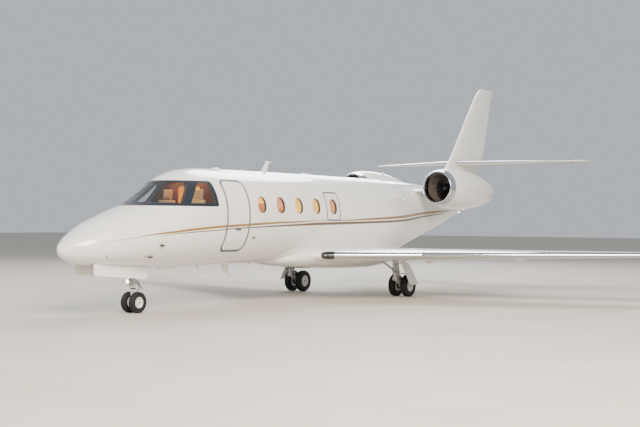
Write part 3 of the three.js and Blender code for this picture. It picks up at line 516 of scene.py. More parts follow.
def paint_finish(name, lines, edge=None):
    gloss = {"Roughness": 0.3, "Coat_Weight": 1.0, "Coat_Roughness": 0.04}
    material, tree, shader, spot = new_finish(name, "F8F6F2", **gloss)
    broad = add_node(tree, "ShaderNodeTexNoise", {"Vector": spot, "Scale": 1.3, "Detail": 3.0})
    colour = hex_colour("FAF8F4")
    layers = [(broad, "F1EEE8")]
    if lines:
        parts = add_node(tree, "ShaderNodeSeparateXYZ", {"Vector": spot})
        station, height = parts.outputs["Y"], parts.outputs["Z"]
        along = add_node(tree, "ShaderNodeMapRange", {
            "Value": station, "From Min": -HALF_LENGTH * MM, "From Max": (LINE_SPAN - HALF_LENGTH) * MM,
        })
        for line, tint in ((GOLD_LINE, "94702F"), (BROWN_LINE, "665038")):
            layers.append((line_cover(tree, along, height, line), tint))
        layers.append((band_cover(tree, station, height), "0B1420"))
    if edge:
        bare = edge_cover(tree, spot, edge)
        layers.append((bare, "D3D6DA"))
        tree.links.new(bare.outputs[0], shader.inputs["Metallic"])
        for socket, painted, polished in (("Roughness", 0.3, 0.1), ("Coat Weight", 1.0, 0.0)):
            span = {"Value": bare, "To Min": painted, "To Max": polished}
            value = add_node(tree, "ShaderNodeMapRange", span)
            tree.links.new(value.outputs[0], shader.inputs[socket])
    for cover, tint in layers:
        layer = {"Factor": cover, 6: colour, 7: hex_colour(tint)}
        colour = add_node(tree, "ShaderNodeMix", layer, data_type="RGBA").outputs[2]
    tree.links.new(colour, shader.inputs["Base Color"])
    peel = add_node(tree, "ShaderNodeTexNoise", {"Vector": spot, "Scale": 90.0, "Detail": 2.0})
    relief = add_node(tree, "ShaderNodeBump", {"Height": peel, "Strength": 0.03, "Distance": 0.001})
    tree.links.new(relief.outputs[0], shader.inputs["Coat Normal"])
    return material


FUSELAGE_PAINT = paint_finish("polyurethane_paint_with_lines", lines=True)
WHITE_PAINT = paint_finish("polyurethane_paint_white", lines=False)
WING_PAINT = paint_finish("paint_with_polished_wing_edge", lines=False, edge=WING_EDGE)
TAIL_PAINT = paint_finish("paint_with_polished_tail_edge", lines=False, edge=TAIL_EDGE)
print("paint nodes", len(FUSELAGE_PAINT.node_tree.nodes))

# %% [markdown]
# ## Metals, rubber and glass
# Leading edges and intake lips are bare aluminium, polished by hand, so they mirror the ground and the sky.
# Gear legs are painted steel forgings with chromed pistons, and the tyres are carbon-black rubber.
# The panes are stretched acrylic: clear, and about as mirror-like as glass.

# %% Hard finishes
POLISHED = speckled("polished_aluminium", "DDE0E4", "C9CDD3", 3.0, 0.02, 0.002, (0.08, 0.2), Metallic=1.0)
GEAR_WHITE = speckled("gear_enamel", "CFD0D0", "B4B4B1", 22.0, 0.05, 0.001, (0.28, 0.45), Coat_Weight=0.4)
CHROME = speckled("chromed_piston", "E9EBED", "DADDE0", 60.0, roughness=(0.04, 0.1), Metallic=1.0)
STEEL = speckled("machined_steel", "A6AAAE", "85898D", 40.0, 0.05, 0.0005, (0.26, 0.42), Metallic=1.0)
WHEEL_ALLOY = speckled("wheel_alloy_enamel", "F0F0EE", "DAD9D5", 30.0, roughness=(0.25, 0.4), Metallic=0.1)
RUBBER = speckled("tyre_rubber", "0E0F11", "19191C", 35.0, 0.3, 0.001, (0.55, 0.85))
SEAL = speckled("seal_rubber", "2A2B2E", "3A3B3E", 80.0, 0.1, 0.0004, Roughness=0.65)
DUCT = speckled("intake_duct_liner", "82776C", "665D54", 12.0, 0.05, 0.001, (0.3, 0.5), Metallic=0.3)
HOT_METAL = speckled("heat_tinted_nickel", "83796E", "57514E", 9.0, 0.05, 0.001, (0.3, 0.5), Metallic=1.0)
TITANIUM = speckled("fan_titanium", "94979C", "74777C", 25.0, roughness=(0.22, 0.38), Metallic=1.0)
SPINNER = speckled("spinner_enamel", "25282D", "1B1D21", 20.0, roughness=(0.25, 0.4), Coat_Weight=0.6)
ACRYLIC = speckled(
    "stretched_acrylic", "F6F8F9", "E9EEF1", 2.0, roughness=(0.0, 0.03), IOR=1.49, Transmission_Weight=1.0,
)
# The cut edges of window, door, hatch and pane openings are dark taupe: painted shade for the shadow inside
# these holes and gaps.
SHADED_EDGE = speckled("cut_edge_painted_shade", "50473F", "3B342E", 60.0, 0.1, 0.0004, Roughness=0.7)
LINING = speckled("cabin_lining_vinyl", "CFBD9F", "BDAA89", 180.0, 0.3, 0.0006, Roughness=0.7)
PANEL_PLASTIC = speckled("panel_plastic", "37383C", "2C2D31", 300.0, 0.25, 0.0005, (0.5, 0.7))
print("materials", len(bpy.data.materials))

# %% [markdown]
# ## The fuselage's form
# A fuselage section is close to an ellipse, a little squarer, and squarer above the wing than at the nose.
# A superellipse has one number for that squareness, so five numbers a section draw the whole body.
# The table is the CAD's own, so the smooth skin lies on the CAD's corners.

# %% Body sections
BODY = [  # station, top, bottom, half width, height of the widest line, squareness of the upper half
    (0, 1231, 1231, 0, 1231, 2.15), (30, 1314, 1146, 66, 1236, 2.15), (100, 1368, 1091, 146, 1243, 2.15),
    (220, 1447, 1037, 263, 1255, 2.15), (420, 1570, 971, 402, 1275, 2.15),
    (750, 1744, 929, 540, 1335, 2.15), (1150, 1889, 900, 660, 1430, 2.15),
    (1550, 2035, 880, 759, 1530, 1.9), (1750, 2102, 872, 799, 1575, 1.75),
    (1950, 2192, 866, 834, 1620, 1.72), (2150, 2312, 861, 865, 1660, 1.72),
    (2400, 2478, 857, 895, 1710, 1.72), (2700, 2668, 856, 920, 1770, 1.85),
    (3100, 2795, 858, 946, 1825, 2.05), (3600, 2848, 866, 961, 1860, 2.15),
    (4600, 2860, 872, 968, 1870, 2.15), (9400, 2866, 872, 968, 1870, 2.15),
    (10300, 2860, 905, 930, 1885, 2.15), (11000, 2850, 1000, 810, 1930, 2.1),
    (11700, 2835, 1180, 670, 2010, 2.1), (12500, 2810, 1385, 560, 2100, 2.0),
    (13300, 2780, 1590, 465, 2190, 2.0), (14200, 2735, 1840, 350, 2290, 2.0),
    (15100, 2660, 2110, 205, 2385, 2.0), (15750, 2545, 2300, 75, 2425, 2.0),
]
LOWER_SQUARENESS = 2.15
SKIN = 60
BODY_SIDES = 128


def section_rings(stations, half, widest, above, below, power, sides):
    """Superellipse sections; power may differ above and below the widest line."""
    angle = 2 * math.pi * (np.arange(sides) + 0.5) / sides
    across, lift = np.sin(angle)[None, :], np.cos(angle)[None, :]
    if isinstance(power, tuple):
        power = np.where(lift > 0, *power)
    x = half * np.sign(across) * np.abs(across) ** power
    z = widest + np.where(lift > 0, above, below) * np.sign(lift) * np.abs(lift) ** power
    s = np.asarray(stations, float)[:, None] + 0 * x
    return np.stack([x * MM, (s - HALF_LENGTH) * MM, z * MM], axis=2)


def body_rings(stations, inset=0.0, sides=BODY_SIDES):
    columns = [table_value(BODY, c, stations, np.sqrt)[:, None] for c in (1, 2, 3, 4, 5)]
    top, bottom, half, widest, upper = columns
    above, below = top - inset - widest, widest - bottom - inset
    power = (2 / upper, 2 / LOWER_SQUARENESS)
    return section_rings(stations, np.maximum(half - inset, 0.5), widest, above, below, power, sides)


def body_stations(first, last, pitch=40.0):
    """Closer together at the nose, where the form bends most."""
    spots = [first]
    while spots[-1] < last:
        spots.append(min(last, spots[-1] + min(pitch, max(1.2, 0.35 * spots[-1] ** 0.75 + 0.5))))
    return spots


def body_form(name, first, last, inset=0.0):
    return healed(loft(name, body_rings(body_stations(first, last), inset)), 40)


whole = body_form("whole_body", 0, 15750)
BODY_SHAPE = form_of(whole)
bpy.data.objects.remove(whole)
print("body form ready")

# %% [markdown]
# ## Setting a finished piece
# Each piece gets its finish, rides on a CAD body, and says which CAD nodes it stands for.

# %% Setting
def settled(obj, finish, body="airframe", slot="white_skin", stands_for=(), inner=()):
    """A piece with its finish, its body and the nodes that it stands for; its slot is not used."""
    if finish is not None:
        marks = np.zeros(len(obj.data.polygons), np.int32)
        obj.data.polygons.foreach_get("material_index", marks)
        obj.data.materials.clear()
        for material in (finish, *inner):
            obj.data.materials.append(material)
        obj.data.polygons.foreach_set("material_index", marks if inner else marks * 0)
    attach(obj, body)
    if stands_for:
        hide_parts(*stands_for)
    return obj


SIDES = (("port", False), ("starboard", True))


def grouped(name, parts, finish, angle=40, recalc=True, **said):
    """Small parts joined to one finished piece."""
    return settled(healed(joined(name, *parts), angle, recalc), finish, **said)


def both_sides(obj, name, finish, nodes=(), body=None, angle=32, recalc=False, **said):
    """The port piece and its mirrored twin; their nodes and a body of their own end in the side's name."""
    for side, mirror in reversed(SIDES):
        piece = healed(copied(obj, f"{name}_{side}", mirror), angle, recalc)
        owner = f"{body}_{side}" if body else "airframe"
        settled(piece, finish, body=owner, stands_for=[f"{node}_{side}" for node in nodes], **said)
    bpy.data.objects.remove(obj)

# %% [markdown]
# ## Nose, cockpit and cabin skins
# The real skins are stretched aluminium sheets over frames, with a plastic radome in front for the radar.
# The nose is carved from the smooth form: its gear bay, the hollow behind the pedals and the panes' holes.
# The cabin is a tube with the holes of the door, the escape hatches and the oval windows.

# %% Openings
DOOR = {"front": 3535, "rear": 4190, "bottom": 1180, "top": 2570}
DOOR_CORNER, HATCH_CORNER = 110, 60
HATCH = {"front": 6990, "rear": 7490, "bottom": 1815, "top": 2415}
WINDOW = {"width": 285, "height": 345, "centre": 2108, "stations": (4630, 5275, 5925, 6580, 7240)}
PANEL_GAP, HATCH_GAP = 7, 4
OVAL_POWER = 0.88  # 1 would be an ellipse
SIDE_PANE = [(1900, 2108), (2435, 2094), (2785, 2502), (2480, 2508)]
REAR_PANE = [(2585, 2094), (3215, 2100), (3232, 2512), (2945, 2512)]
SCREEN_PANE = [(22, 2095), (258, 2105), (104, 2508), (16, 2530)]
POST_LINE = [(288, 2000), (3000, 2000), (3000, 2620), (114, 2620)]


def soft_corners(outline, radius, steps=5):
    """The same outline with its corners rounded off."""
    points = [Vector(p) for p in outline]
    result = []
    for i, corner in enumerate(points):
        arms = [points[i - 1] - corner, points[(i + 1) % len(points)] - corner]
        reach = min(radius, *[0.3 * arm.length for arm in arms])
        start, end = (corner + arm.normalized() * reach for arm in arms)
        for k in range(steps + 1):
            t = k / steps
            result.append(tuple(start * (1 - t) ** 2 + corner * 2 * t * (1 - t) + end * t * t))
    return result


def oval(station, grow=0.0, points=48):
    spots = []
    for i in range(points):
        angle = 2 * math.pi * i / points
        c, s = math.cos(angle), math.sin(angle)
        spots.append((
            station + (WINDOW["width"] / 2 + grow) * math.copysign(abs(c) ** OVAL_POWER, c),
            WINDOW["centre"] + (WINDOW["height"] / 2 + grow) * math.copysign(abs(s) ** OVAL_POWER, s),
        ))
    return spots


def side_cut(outline, mirror=False, start=300, end=2600):
    span = (-end, -start) if mirror else (start, end)
    return prism("cutter", outline, "x", *span)


def opening(spec, corner, grow=0.0):
    """The outline of a door or hatch, moved outwards all round."""
    low, high = spec["bottom"] - grow, spec["top"] + grow
    return rounded(spec["front"] - grow, spec["rear"] + grow, low, high, corner)


def pane_cutters(mirror, grow=0.0):
    """The three panes' holes of one side: windscreen, side pane and rear pane."""
    def grown(outline):
        middle = [sum(p[c] for p in outline) / len(outline) for c in (0, 1)]
        half = max(abs(p[0] - middle[0]) for p in outline)
        scale = 1 + grow / half
        return soft_corners([tuple(m + (v - m) * scale for v, m in zip(p, middle)) for p in outline], 30)
    sign = -1 if mirror else 1
    screen = prism("cutter", [(sign * x, z) for x, z in grown(SCREEN_PANE)], "s", 1500, 2700)
    side = side_cut(grown(SIDE_PANE), mirror, 10)
    post = prism("cutter", [(sign * x, z) for x, z in POST_LINE], "s", 1400, 3700)
    carved(side, post, operation="INTERSECT")
    return [screen, side, side_cut(grown(REAR_PANE), mirror, 100)]


# %% Radome and cockpit skin
RADOME_END, COCKPIT_END, CABIN_END, TAIL_END = 580, 3400, 10300, 15750
GEAR_BAY = {"front": 610, "rear": 2010, "half": 232, "roof": 1200}
radome = shaded_like(body_form("radome_skin", 0, RADOME_END - 1.5), BODY_SHAPE)
settled(radome, FUSELAGE_PAINT, slot="white_composite", stands_for=["radome"])

cockpit = body_form("cockpit_skin", RADOME_END, COCKPIT_END - 1.5)
hollow = body_form("cockpit_hollow", 1760, COCKPIT_END + 60, SKIN)
above_bay = plate("above_bay", (-3000, -100, 0), (3000, GEAR_BAY["rear"] + 110, GEAR_BAY["roof"] + 90), 1.0)
carved(hollow, above_bay)
bay_high = (GEAR_BAY["half"], GEAR_BAY["rear"], GEAR_BAY["roof"])
bay = plate("bay", (-GEAR_BAY["half"], GEAR_BAY["front"], 0), bay_high, 1.0)
carved(cockpit, hollow, bay, *pane_cutters(False), *pane_cutters(True))
shaded_like(cockpit, BODY_SHAPE)
bay_end = place(*bay_high)
for polygon in cockpit.data.polygons:
    x, y, z = polygon.center
    in_bay = abs(x) < bay_end.x + 0.5 * MM and z < bay_end.z + 0.5 * MM and y < bay_end.y + MM
    if in_bay and polygon.material_index:
        polygon.material_index = 3
settled(cockpit, FUSELAGE_PAINT, stands_for=["cockpit_section"], inner=(SHADED_EDGE, PANEL_PLASTIC, GEAR_WHITE))
print("cockpit faces", len(cockpit.data.polygons))

# %% Cabin wall
def shell(name, first, last, outer=0.0, inner=SKIN, pitch=60):
    """A length of wall between two insets of the body's form, closed at both ends."""
    stations = body_stations(first, last, pitch)
    rings = [body_rings(stations, inset) for inset in (outer, inner)]
    count, sides = rings[0].shape[:2]
    shift, end = count * sides, (count - 1) * sides
    faces = []
    for a, b, c, d in band_faces(count, sides):
        faces.append((a, b, c, d))
        faces.append((shift + d, shift + c, shift + b, shift + a))
    for i in range(sides):
        j = (i + 1) % sides
        faces.append((shift + i, shift + j, j, i))
        faces.append((end + i, end + j, shift + end + j, shift + end + i))
    return healed(made(name, np.concatenate([ring.reshape(-1, 3) for ring in rings]), faces), 40)


hatch_outline = opening(HATCH, HATCH_CORNER)
cabin = shell("cabin_skin", COCKPIT_END, CABIN_END - 1.5)
carved(cabin, side_cut(opening(DOOR, DOOR_CORNER)))
for name, mirror in SIDES:
    carved(cabin, side_cut(hatch_outline, mirror))
    for station in WINDOW["stations"][:-1]:
        carved(cabin, side_cut(oval(station), mirror))
shaded_like(cabin, BODY_SHAPE)
settled(cabin, FUSELAGE_PAINT, stands_for=["cabin_section"], inner=(SHADED_EDGE, LINING))
print("cabin faces", len(cabin.data.polygons))

# %% [markdown]
# ## Entry door and escape hatches
# The door and the hatches are plugs cut from the same wall, each with an even gap round it.
# Seen from outside they are only a fine dark line, so the gap has to be real and even.

# %% Door and hatches
door = shell("door_skin", 3450, 4280)
carved(door, side_cut(opening(DOOR, DOOR_CORNER - 6, -PANEL_GAP)), operation="INTERSECT")
shaded_like(door, BODY_SHAPE)
settled(door, FUSELAGE_PAINT, body="entry_door", stands_for=["entry_door"], inner=(SHADED_EDGE, LINING))
for name, mirror in SIDES:
    hatch = shell(f"hatch_skin_{name}", 6900, 7580)
    carved(hatch, side_cut(opening(HATCH, HATCH_CORNER - 4, -HATCH_GAP), mirror), operation="INTERSECT")
    carved(hatch, side_cut(oval(WINDOW["stations"][-1]), mirror))
    shaded_like(hatch, BODY_SHAPE)
    settled(hatch, FUSELAGE_PAINT, stands_for=[f"escape_hatch_{name}"], inner=(SHADED_EDGE, LINING))
print("door and hatches set")

# %% Sealing strips round the doors
FRAME_SEAL = speckled("door_frame_seal", "626B74", "525A62", 80.0, 0.1, 0.0003, Roughness=0.5)
STRIP_START = 0.4  # mm outside the opening's own edge
STRIP_PROUD = 0.0008  # metres


def frame_strip(name, spec, corner, mirror, wide):
    """A band on the skin round an opening, 0.8 mm proud, as the rubber strip of a real door frame is."""
    strip = shell(name, spec["front"] - 80, spec["rear"] + 80, inner=4)
    carved(strip, side_cut(opening(spec, corner + wide, wide), mirror), operation="INTERSECT")
    carved(strip, side_cut(opening(spec, corner, STRIP_START), mirror))
    for vertex in strip.data.vertices:
        vertex.co += form_normal(BODY_SHAPE, vertex.co)[0] * STRIP_PROUD
    shaded_like(strip, BODY_SHAPE)
    settled(strip, FRAME_SEAL)


frame_strip("door_frame_strip", DOOR, DOOR_CORNER, False, 38)
for name, mirror in SIDES:
    frame_strip(f"hatch_frame_strip_{name}", HATCH, HATCH_CORNER, mirror, 28)

# %% Tail cone
tail = shaded_like(body_form("tail_skin", CABIN_END, TAIL_END), BODY_SHAPE)
settled(tail, FUSELAGE_PAINT, stands_for=["tail_section"])

# %% [markdown]
# ## Wings with their winglets
# A wing is a loft of aerofoil sections. The section's nose is a bare polished strip, and the rest is paint.
# Flaps and ailerons are made from the same section behind their hinge lines, so no Boolean is needed:
# each fixed length of wing simply ends in a round cove where a moving surface sits.

# %% Aerofoils
AEROFOIL = [  # share of the chord, half thickness above and below
    (0, 0, 0), (0.012, 0.2, 0.18), (0.05, 0.36, 0.34), (0.15, 0.51, 0.46), (0.35, 0.56, 0.44),
    (0.55, 0.47, 0.34), (0.75, 0.29, 0.18), (0.92, 0.1, 0.06), (1, 0.02, 0.02),
]
EVEN_FOIL = [(c, (a + b) / 2, (a + b) / 2) for c, a, b in AEROFOIL]
WING = [  # x, leading edge, trailing edge, height, thickness, cant
    (620, 6300, 9850, 1008, 330, 0), (1000, 6560, 9850, 1013, 312, 0), (2900, 7850, 9850, 1036, 246, 0),
    (8150, 10289, 11016, 1102, 90, 0), (8270, 10395, 11062, 1118, 72, 25), (8345, 10520, 11110, 1180, 58, 60),
    (8388, 10660, 11170, 1310, 46, 78), (8459.2, 11010, 11330, 1640, 24, 78),
]
FLAP_INNER = {"from": 1080, "to": 2880, "hinge": (9290, 9290)}
FLAP_OUTER = {"from": 3050, "to": 5330, "hinge": (9356.5, 9860)}
AILERON = {"from": 5380, "to": 7980, "hinge": (9990, 10740)}
CHORD_STEPS = np.concatenate([np.linspace(0, 1, 15)[:-1] ** 2 * 0.15, np.linspace(0.15, 1, 30)])


def foil_row(rows, position):
    """A foil table's columns at a position, straight between its rows."""
    return [np.interp(position, [r[0] for r in rows], [r[c] for r in rows]) for c in range(1, len(rows[0]))]


def across_place(x, station, height, rise, cant=0.0):
    lean = math.radians(cant)
    return place(x - rise * math.sin(lean), station, height + rise * math.cos(lean))


def upright_place(z, station, middle, side, cant=0.0):
    return place(middle + side, station, z)


def foil_half(section, column, share):
    return float(table_value(section, column, share, np.sqrt))


COVE_CLEARANCE = 9.0


def foil_ring(row, position, section, spot, hinge=None, part="whole"):
    """One section as a ring: the whole foil, the part ahead of a hinge with its cove, or the part behind."""
    leading, trailing, height, thick = row[:4]
    cant = row[4] if len(row) > 4 else 0.0
    chord = trailing - leading
    steps = CHORD_STEPS
    arc, back = [], False
    if part != "whole":
        share = (hinge - leading) / chord
        over, under = (foil_half(section, c, share) * thick for c in (1, 2))
        middle, radius = (over - under) / 2, (over + under) / 2
        turns = [math.radians(a) for a in np.linspace(90, 270, 15)[1:-1]]
    if part == "fixed":
        steps = np.unique(np.append(CHORD_STEPS[CHORD_STEPS < share - 0.01], share))
        steps = np.interp(np.linspace(0, 1, 36), np.linspace(0, 1, len(steps)), steps)
        wide, deep = radius + COVE_CLEARANCE, radius * 0.999
        arc = [(hinge + wide * math.cos(a), middle + deep * math.sin(a)) for a in turns]
    elif part == "moving":
        steps = np.concatenate([[share], np.linspace(share, 1, 14)[1:]])
        back = True
        arc = [(hinge + radius * math.cos(a), middle + radius * math.sin(a)) for a in reversed(turns)]
    upper = [(leading + c * chord, foil_half(section, 1, c) * thick) for c in steps]
    lower = [(leading + c * chord, -foil_half(section, 2, c) * thick) for c in reversed(steps)]
    spots = upper + lower + arc if back else (upper + arc + lower)[:-1]
    return [spot(position, s, height, t, cant) for s, t in spots]


def hinge_slope(spec):
    return (spec["hinge"][1] - spec["hinge"][0]) / (spec["to"] - spec["from"])


def hinge_at(spec, position):
    return spec["hinge"][0] + hinge_slope(spec) * (position - spec["from"])


def foil_length(name, foil, start, end, steps=2, spec=None, part="whole", slant=()):
    """A length of foil between two positions; the rings in slant end square to the surface's hinge."""
    rows, section, spot = foil
    rings = []
    for index, position in enumerate(np.linspace(start, end, steps)):
        hinge = hinge_at(spec, position) if spec else None
        ring = foil_ring(foil_row(rows, position), position, section, spot, hinge, part)
        if index in slant:
            line = (hinge - HALF_LENGTH) * MM
            ring = [p - Vector((hinge_slope(spec) * max(0.0, p.y - line), 0, 0)) for p in ring]
        rings.append(ring)
    return healed(loft(name, rings), 30)


def tip_table(rows, steps=28):
    """The winglet's bend as many fine rows, curved through the table's own rows."""
    tip = rows[3:]
    run = [0.0]
    for a, b in zip(tip, tip[1:]):
        run.append(run[-1] + math.hypot(b[0] - a[0], b[3] - a[3]))
    table = [(u, *row) for u, row in zip(run, tip)]
    marks = np.linspace(0, run[-1], steps)
    return [tuple(float(table_value(table, c, u)) for c in range(1, 7)) for u in marks]


# %% Wings, flaps and ailerons
LEG_BAY = {"inner": 1000, "outer": 1655, "front": 8840, "rear": 9170, "roof": 1030}
WING_FOIL = (WING, AEROFOIL, across_place)


def bay_cutter(mirror=False, edge=0.5):
    low, high = (-LEG_BAY["outer"], -LEG_BAY["inner"]) if mirror else (LEG_BAY["inner"], LEG_BAY["outer"])
    return plate("bay", (low, LEG_BAY["front"], 0), (high, LEG_BAY["rear"], LEG_BAY["roof"]), edge)


def wing_lengths(name):
    """The wing's fixed lengths: plain ones, those ahead of a moving surface, and the winglet."""
    pieces = [foil_length(name, WING_FOIL, a, b) for a, b in ((620, 1000), (1000, 1080))]
    carved(pieces[-1], bay_cutter())
    for spec, steps in ((FLAP_INNER, 2), (FLAP_OUTER, 3), (AILERON, 3)):
        pieces.append(foil_length(name, WING_FOIL, spec["from"], spec["to"], steps, spec, "fixed"))
        if spec is FLAP_INNER:
            carved(pieces[-1], bay_cutter())
    for a, b in ((2880, 2900), (5330, 5380), (7980, 8150)):
        pieces.append(foil_length(name, WING_FOIL, a, b))
    pieces.append(foil_length(name, WING_FOIL, 2900, 3050, 2, FLAP_OUTER, slant=(1,)))
    rings = [foil_ring(row[1:], row[0], AEROFOIL, across_place) for row in tip_table(WING)]
    pieces.append(healed(loft(name, rings), 30))
    return pieces


def moving_length(name, foil, spec, gap=PANEL_GAP, slant=()):
    return foil_length(name, foil, spec["from"] + gap, spec["to"] - gap, 3, spec, "moving", slant)


port_wing = healed(joined("wing", *wing_lengths("wing_length")), 30)
print("wing faces", len(port_wing.data.polygons))
both_sides(port_wing, "wing_skin", WING_PAINT, ["wing"], angle=30)
for part, spec in (("flap_inner", FLAP_INNER), ("flap_outer", FLAP_OUTER), ("aileron", AILERON)):
    surface = moving_length(part, WING_FOIL, spec, slant=(0,) if spec is FLAP_OUTER else ())
    both_sides(surface, f"{part}_skin", WHITE_PAINT, [part], body=part, angle=30)

# %% Belly fairing
FAIRING = [  # station, bottom, half width, top
    (5750, 868, 250, 900), (6100, 800, 640, 980), (6600, 735, 930, 1090), (7300, 690, 1020, 1130),
    (8300, 650, 1030, 1130), (9300, 640, 1030, 1120), (10100, 700, 900, 1090), (10500, 790, 700, 1070),
    (10900, 910, 470, 1080), (11250, 1040, 260, 1130),
]
FAIRING_CROWN, FAIRING_SQUARENESS = 60, 2.8


def fairing_rings():
    stations = np.linspace(FAIRING[0][0], FAIRING[-1][0], 110)
    bottom, half, top = (table_value(FAIRING, c, stations)[:, None] for c in (1, 2, 3))
    return section_rings(stations, half, top, FAIRING_CROWN, top - bottom, 2 / FAIRING_SQUARENESS, 96)


fairing = healed(loft("belly_fairing_skin", fairing_rings()), 40)
FAIRING_SHAPE = form_of(fairing)
carved(fairing, body_form("body_cutter", 5000, 13000, 2.0))
for side, mirror in SIDES:
    carved(fairing, bay_cutter(mirror, 1.0))
shaded_like(fairing, FAIRING_SHAPE)
said = {"slot": "white_composite", "stands_for": ["belly_fairing"], "inner": (GEAR_WHITE, GEAR_WHITE)}
settled(fairing, WHITE_PAINT, **said)

# %% [markdown]
# ## Fin, rudder and tailplane
# They are made as the wing is, with an even section, because they have to work both ways.

# %% Tail surfaces
FIN = [  # height, leading edge, trailing edge, middle, thickness
    (2560, 13560, 15650, 0, 300), (3000, 13980, 16060, 0, 230), (3620, 14594, 16600, 0, 186),
    (5545, 16128, 17205, 0, 104), (5770, 16400, 17275, 0, 80), (5820, 16500, 17300, 0, 50),
]
RUDDER = {"from": 3700, "to": 5520, "hinge": (15999, 16868)}
TAILPLANE = [  # x, leading edge, trailing edge, height, thickness
    (0, 14700, 16480, 3505, 150), (3300, 16060, 16880, 3545, 62), (3420, 16140, 16885, 3547, 44),
    (3460, 16260, 16880, 3547, 18),
]
ELEVATOR = {"from": 190, "to": 3120, "hinge": (16010, 16560)}
FIN_FOIL = (FIN, EVEN_FOIL, upright_place)
TAIL_FOIL = (TAILPLANE, EVEN_FOIL, across_place)


def fixed_lengths(foil, plain, spec):
    """The plain lengths of a tail surface and the one ahead of its moving part."""
    pieces = [foil_length("length", foil, a, b) for a, b in plain]
    return [*pieces, foil_length("length", foil, spec["from"], spec["to"], 3, spec, "fixed")]


fin_plain = ((2560, 3000), (3000, 3620), (3620, 3700), (5520, 5545), (5545, 5770), (5770, 5820))
grouped("fin_skin", fixed_lengths(FIN_FOIL, fin_plain, RUDDER), WHITE_PAINT, 30, stands_for=["fin"])
rudder = moving_length("rudder_skin", FIN_FOIL, RUDDER, 14)
settled(rudder, WHITE_PAINT, body="rudder", stands_for=["rudder"])

tail_plain = ((0, 190), (3120, 3300), (3300, 3420), (3420, 3460))
half_tail = healed(joined("tailplane_half", *fixed_lengths(TAIL_FOIL, tail_plain, ELEVATOR)), 30)
halves = [half_tail, copied(half_tail, "other_half", True)]
grouped("tailplane_skin", halves, TAIL_PAINT, 30, stands_for=["tailplane"])
elevator = moving_length("elevator", TAIL_FOIL, ELEVATOR)
both_sides(elevator, "elevator_skin", WHITE_PAINT, ["elevator"], body="elevator", angle=30)
print("tail set")

# %% [markdown]
# ## Cabin windows
# Each window is an oval pane set a few millimetres into the skin, inside a dark rubber seal.
# The pane is cut from a thin shell of the body's own form, so it stays flush with the paint all round.

# %% Panes
def window_pieces(wall, cutters, inner_cutters=None):
    """One piece of the thin wall for each cutter, with a hole in it where there is an inner cutter."""
    pieces = [carved(copied(wall, "pane"), cutter, operation="INTERSECT") for cutter in cutters]
    for piece, cutter in zip(pieces, inner_cutters or ()):
        carved(piece, cutter)
    return pieces


def oval_cutters(mirror, grow):
    return [side_cut(oval(station, grow), mirror) for station in WINDOW["stations"]]


def glazed(first, last, pitch, glass, rim, cutters, grows, reach, names, node):
    """Panes and rims on both sides; glass and rim are pairs of insets, and grows are outline offsets."""
    pane_wall = shell("pane_wall", first, last, *glass, pitch)
    rim_wall = shell("rim_wall", first, last, *rim, pitch)
    for side, mirror in SIDES:
        panes = window_pieces(pane_wall, cutters(mirror, grows[0]))
        rims = window_pieces(rim_wall, cutters(mirror, grows[1]), cutters(mirror, grows[2]))
        panes = shaded_like(joined(f"{names[0]}_{side}", *panes), BODY_SHAPE, reach=reach)
        settled(panes, ACRYLIC, slot="window_glass", stands_for=[f"{node}_{side}"])
        grouped(f"{names[1]}_{side}", rims, SEAL, slot="window_glass")
    for spare in (pane_wall, rim_wall):
        bpy.data.objects.remove(spare)


WINDOW_NAMES = ("window_panes", "window_seals")
glazed(4400, 7500, 40, (8, 15), (1.5, 22), oval_cutters, (-6, -0.3, -7), 16, WINDOW_NAMES, "cabin_windows")
print("cabin windows set")

# %% [markdown]
# ## Cockpit panes
# Three panes a side: the windscreen, the opening side window and the fixed rear one.
# They sit in a dark painted frame, each with a thin black bead of sealant.

# %% Windscreen and side panes
PANE_NAMES = ("cockpit_panes", "cockpit_pane_beads")
glazed(1500, 3600, 25, (3, 12), (0.8, 20), pane_cutters, (-5, -0.4, -9), 14, PANE_NAMES, "cockpit_glass")
print("cockpit panes set")

# %% [markdown]
# ## Repeats with Geometry Nodes
# Fan blades, vanes, bolts and wheel holes all repeat round an axis, so one small tree does them all.
# It turns copies of the item round the axis and makes them real, because the export drops instances.

# %% A tree that repeats round an axis
def new_tree(name, inputs):
    """A Geometry Nodes group with a geometry input, the named inputs, and a geometry output."""
    tree = bpy.data.node_groups.new(name, "GeometryNodeTree")
    tree.interface.new_socket("Geometry", in_out="INPUT", socket_type="NodeSocketGeometry")
    for label, kind in inputs:
        tree.interface.new_socket(label, in_out="INPUT", socket_type=kind)
    tree.interface.new_socket("Geometry", in_out="OUTPUT", socket_type="NodeSocketGeometry")
    return tree, add_node(tree, "NodeGroupInput").outputs, add_node(tree, "NodeGroupOutput")


def grown_by(obj, tree, finish, **values):
    """The tree applied to the object with these inputs, and baked to a plain mesh."""
    modifier = obj.modifiers.new("repeat", "NODES")
    modifier.node_group = tree
    known = {item.name: item.identifier for item in tree.interface.items_tree if item.in_out == "INPUT"}
    modifier[known["Material"]] = finish
    for label, value in values.items():
        modifier[known[label]] = value
    return baked(obj)


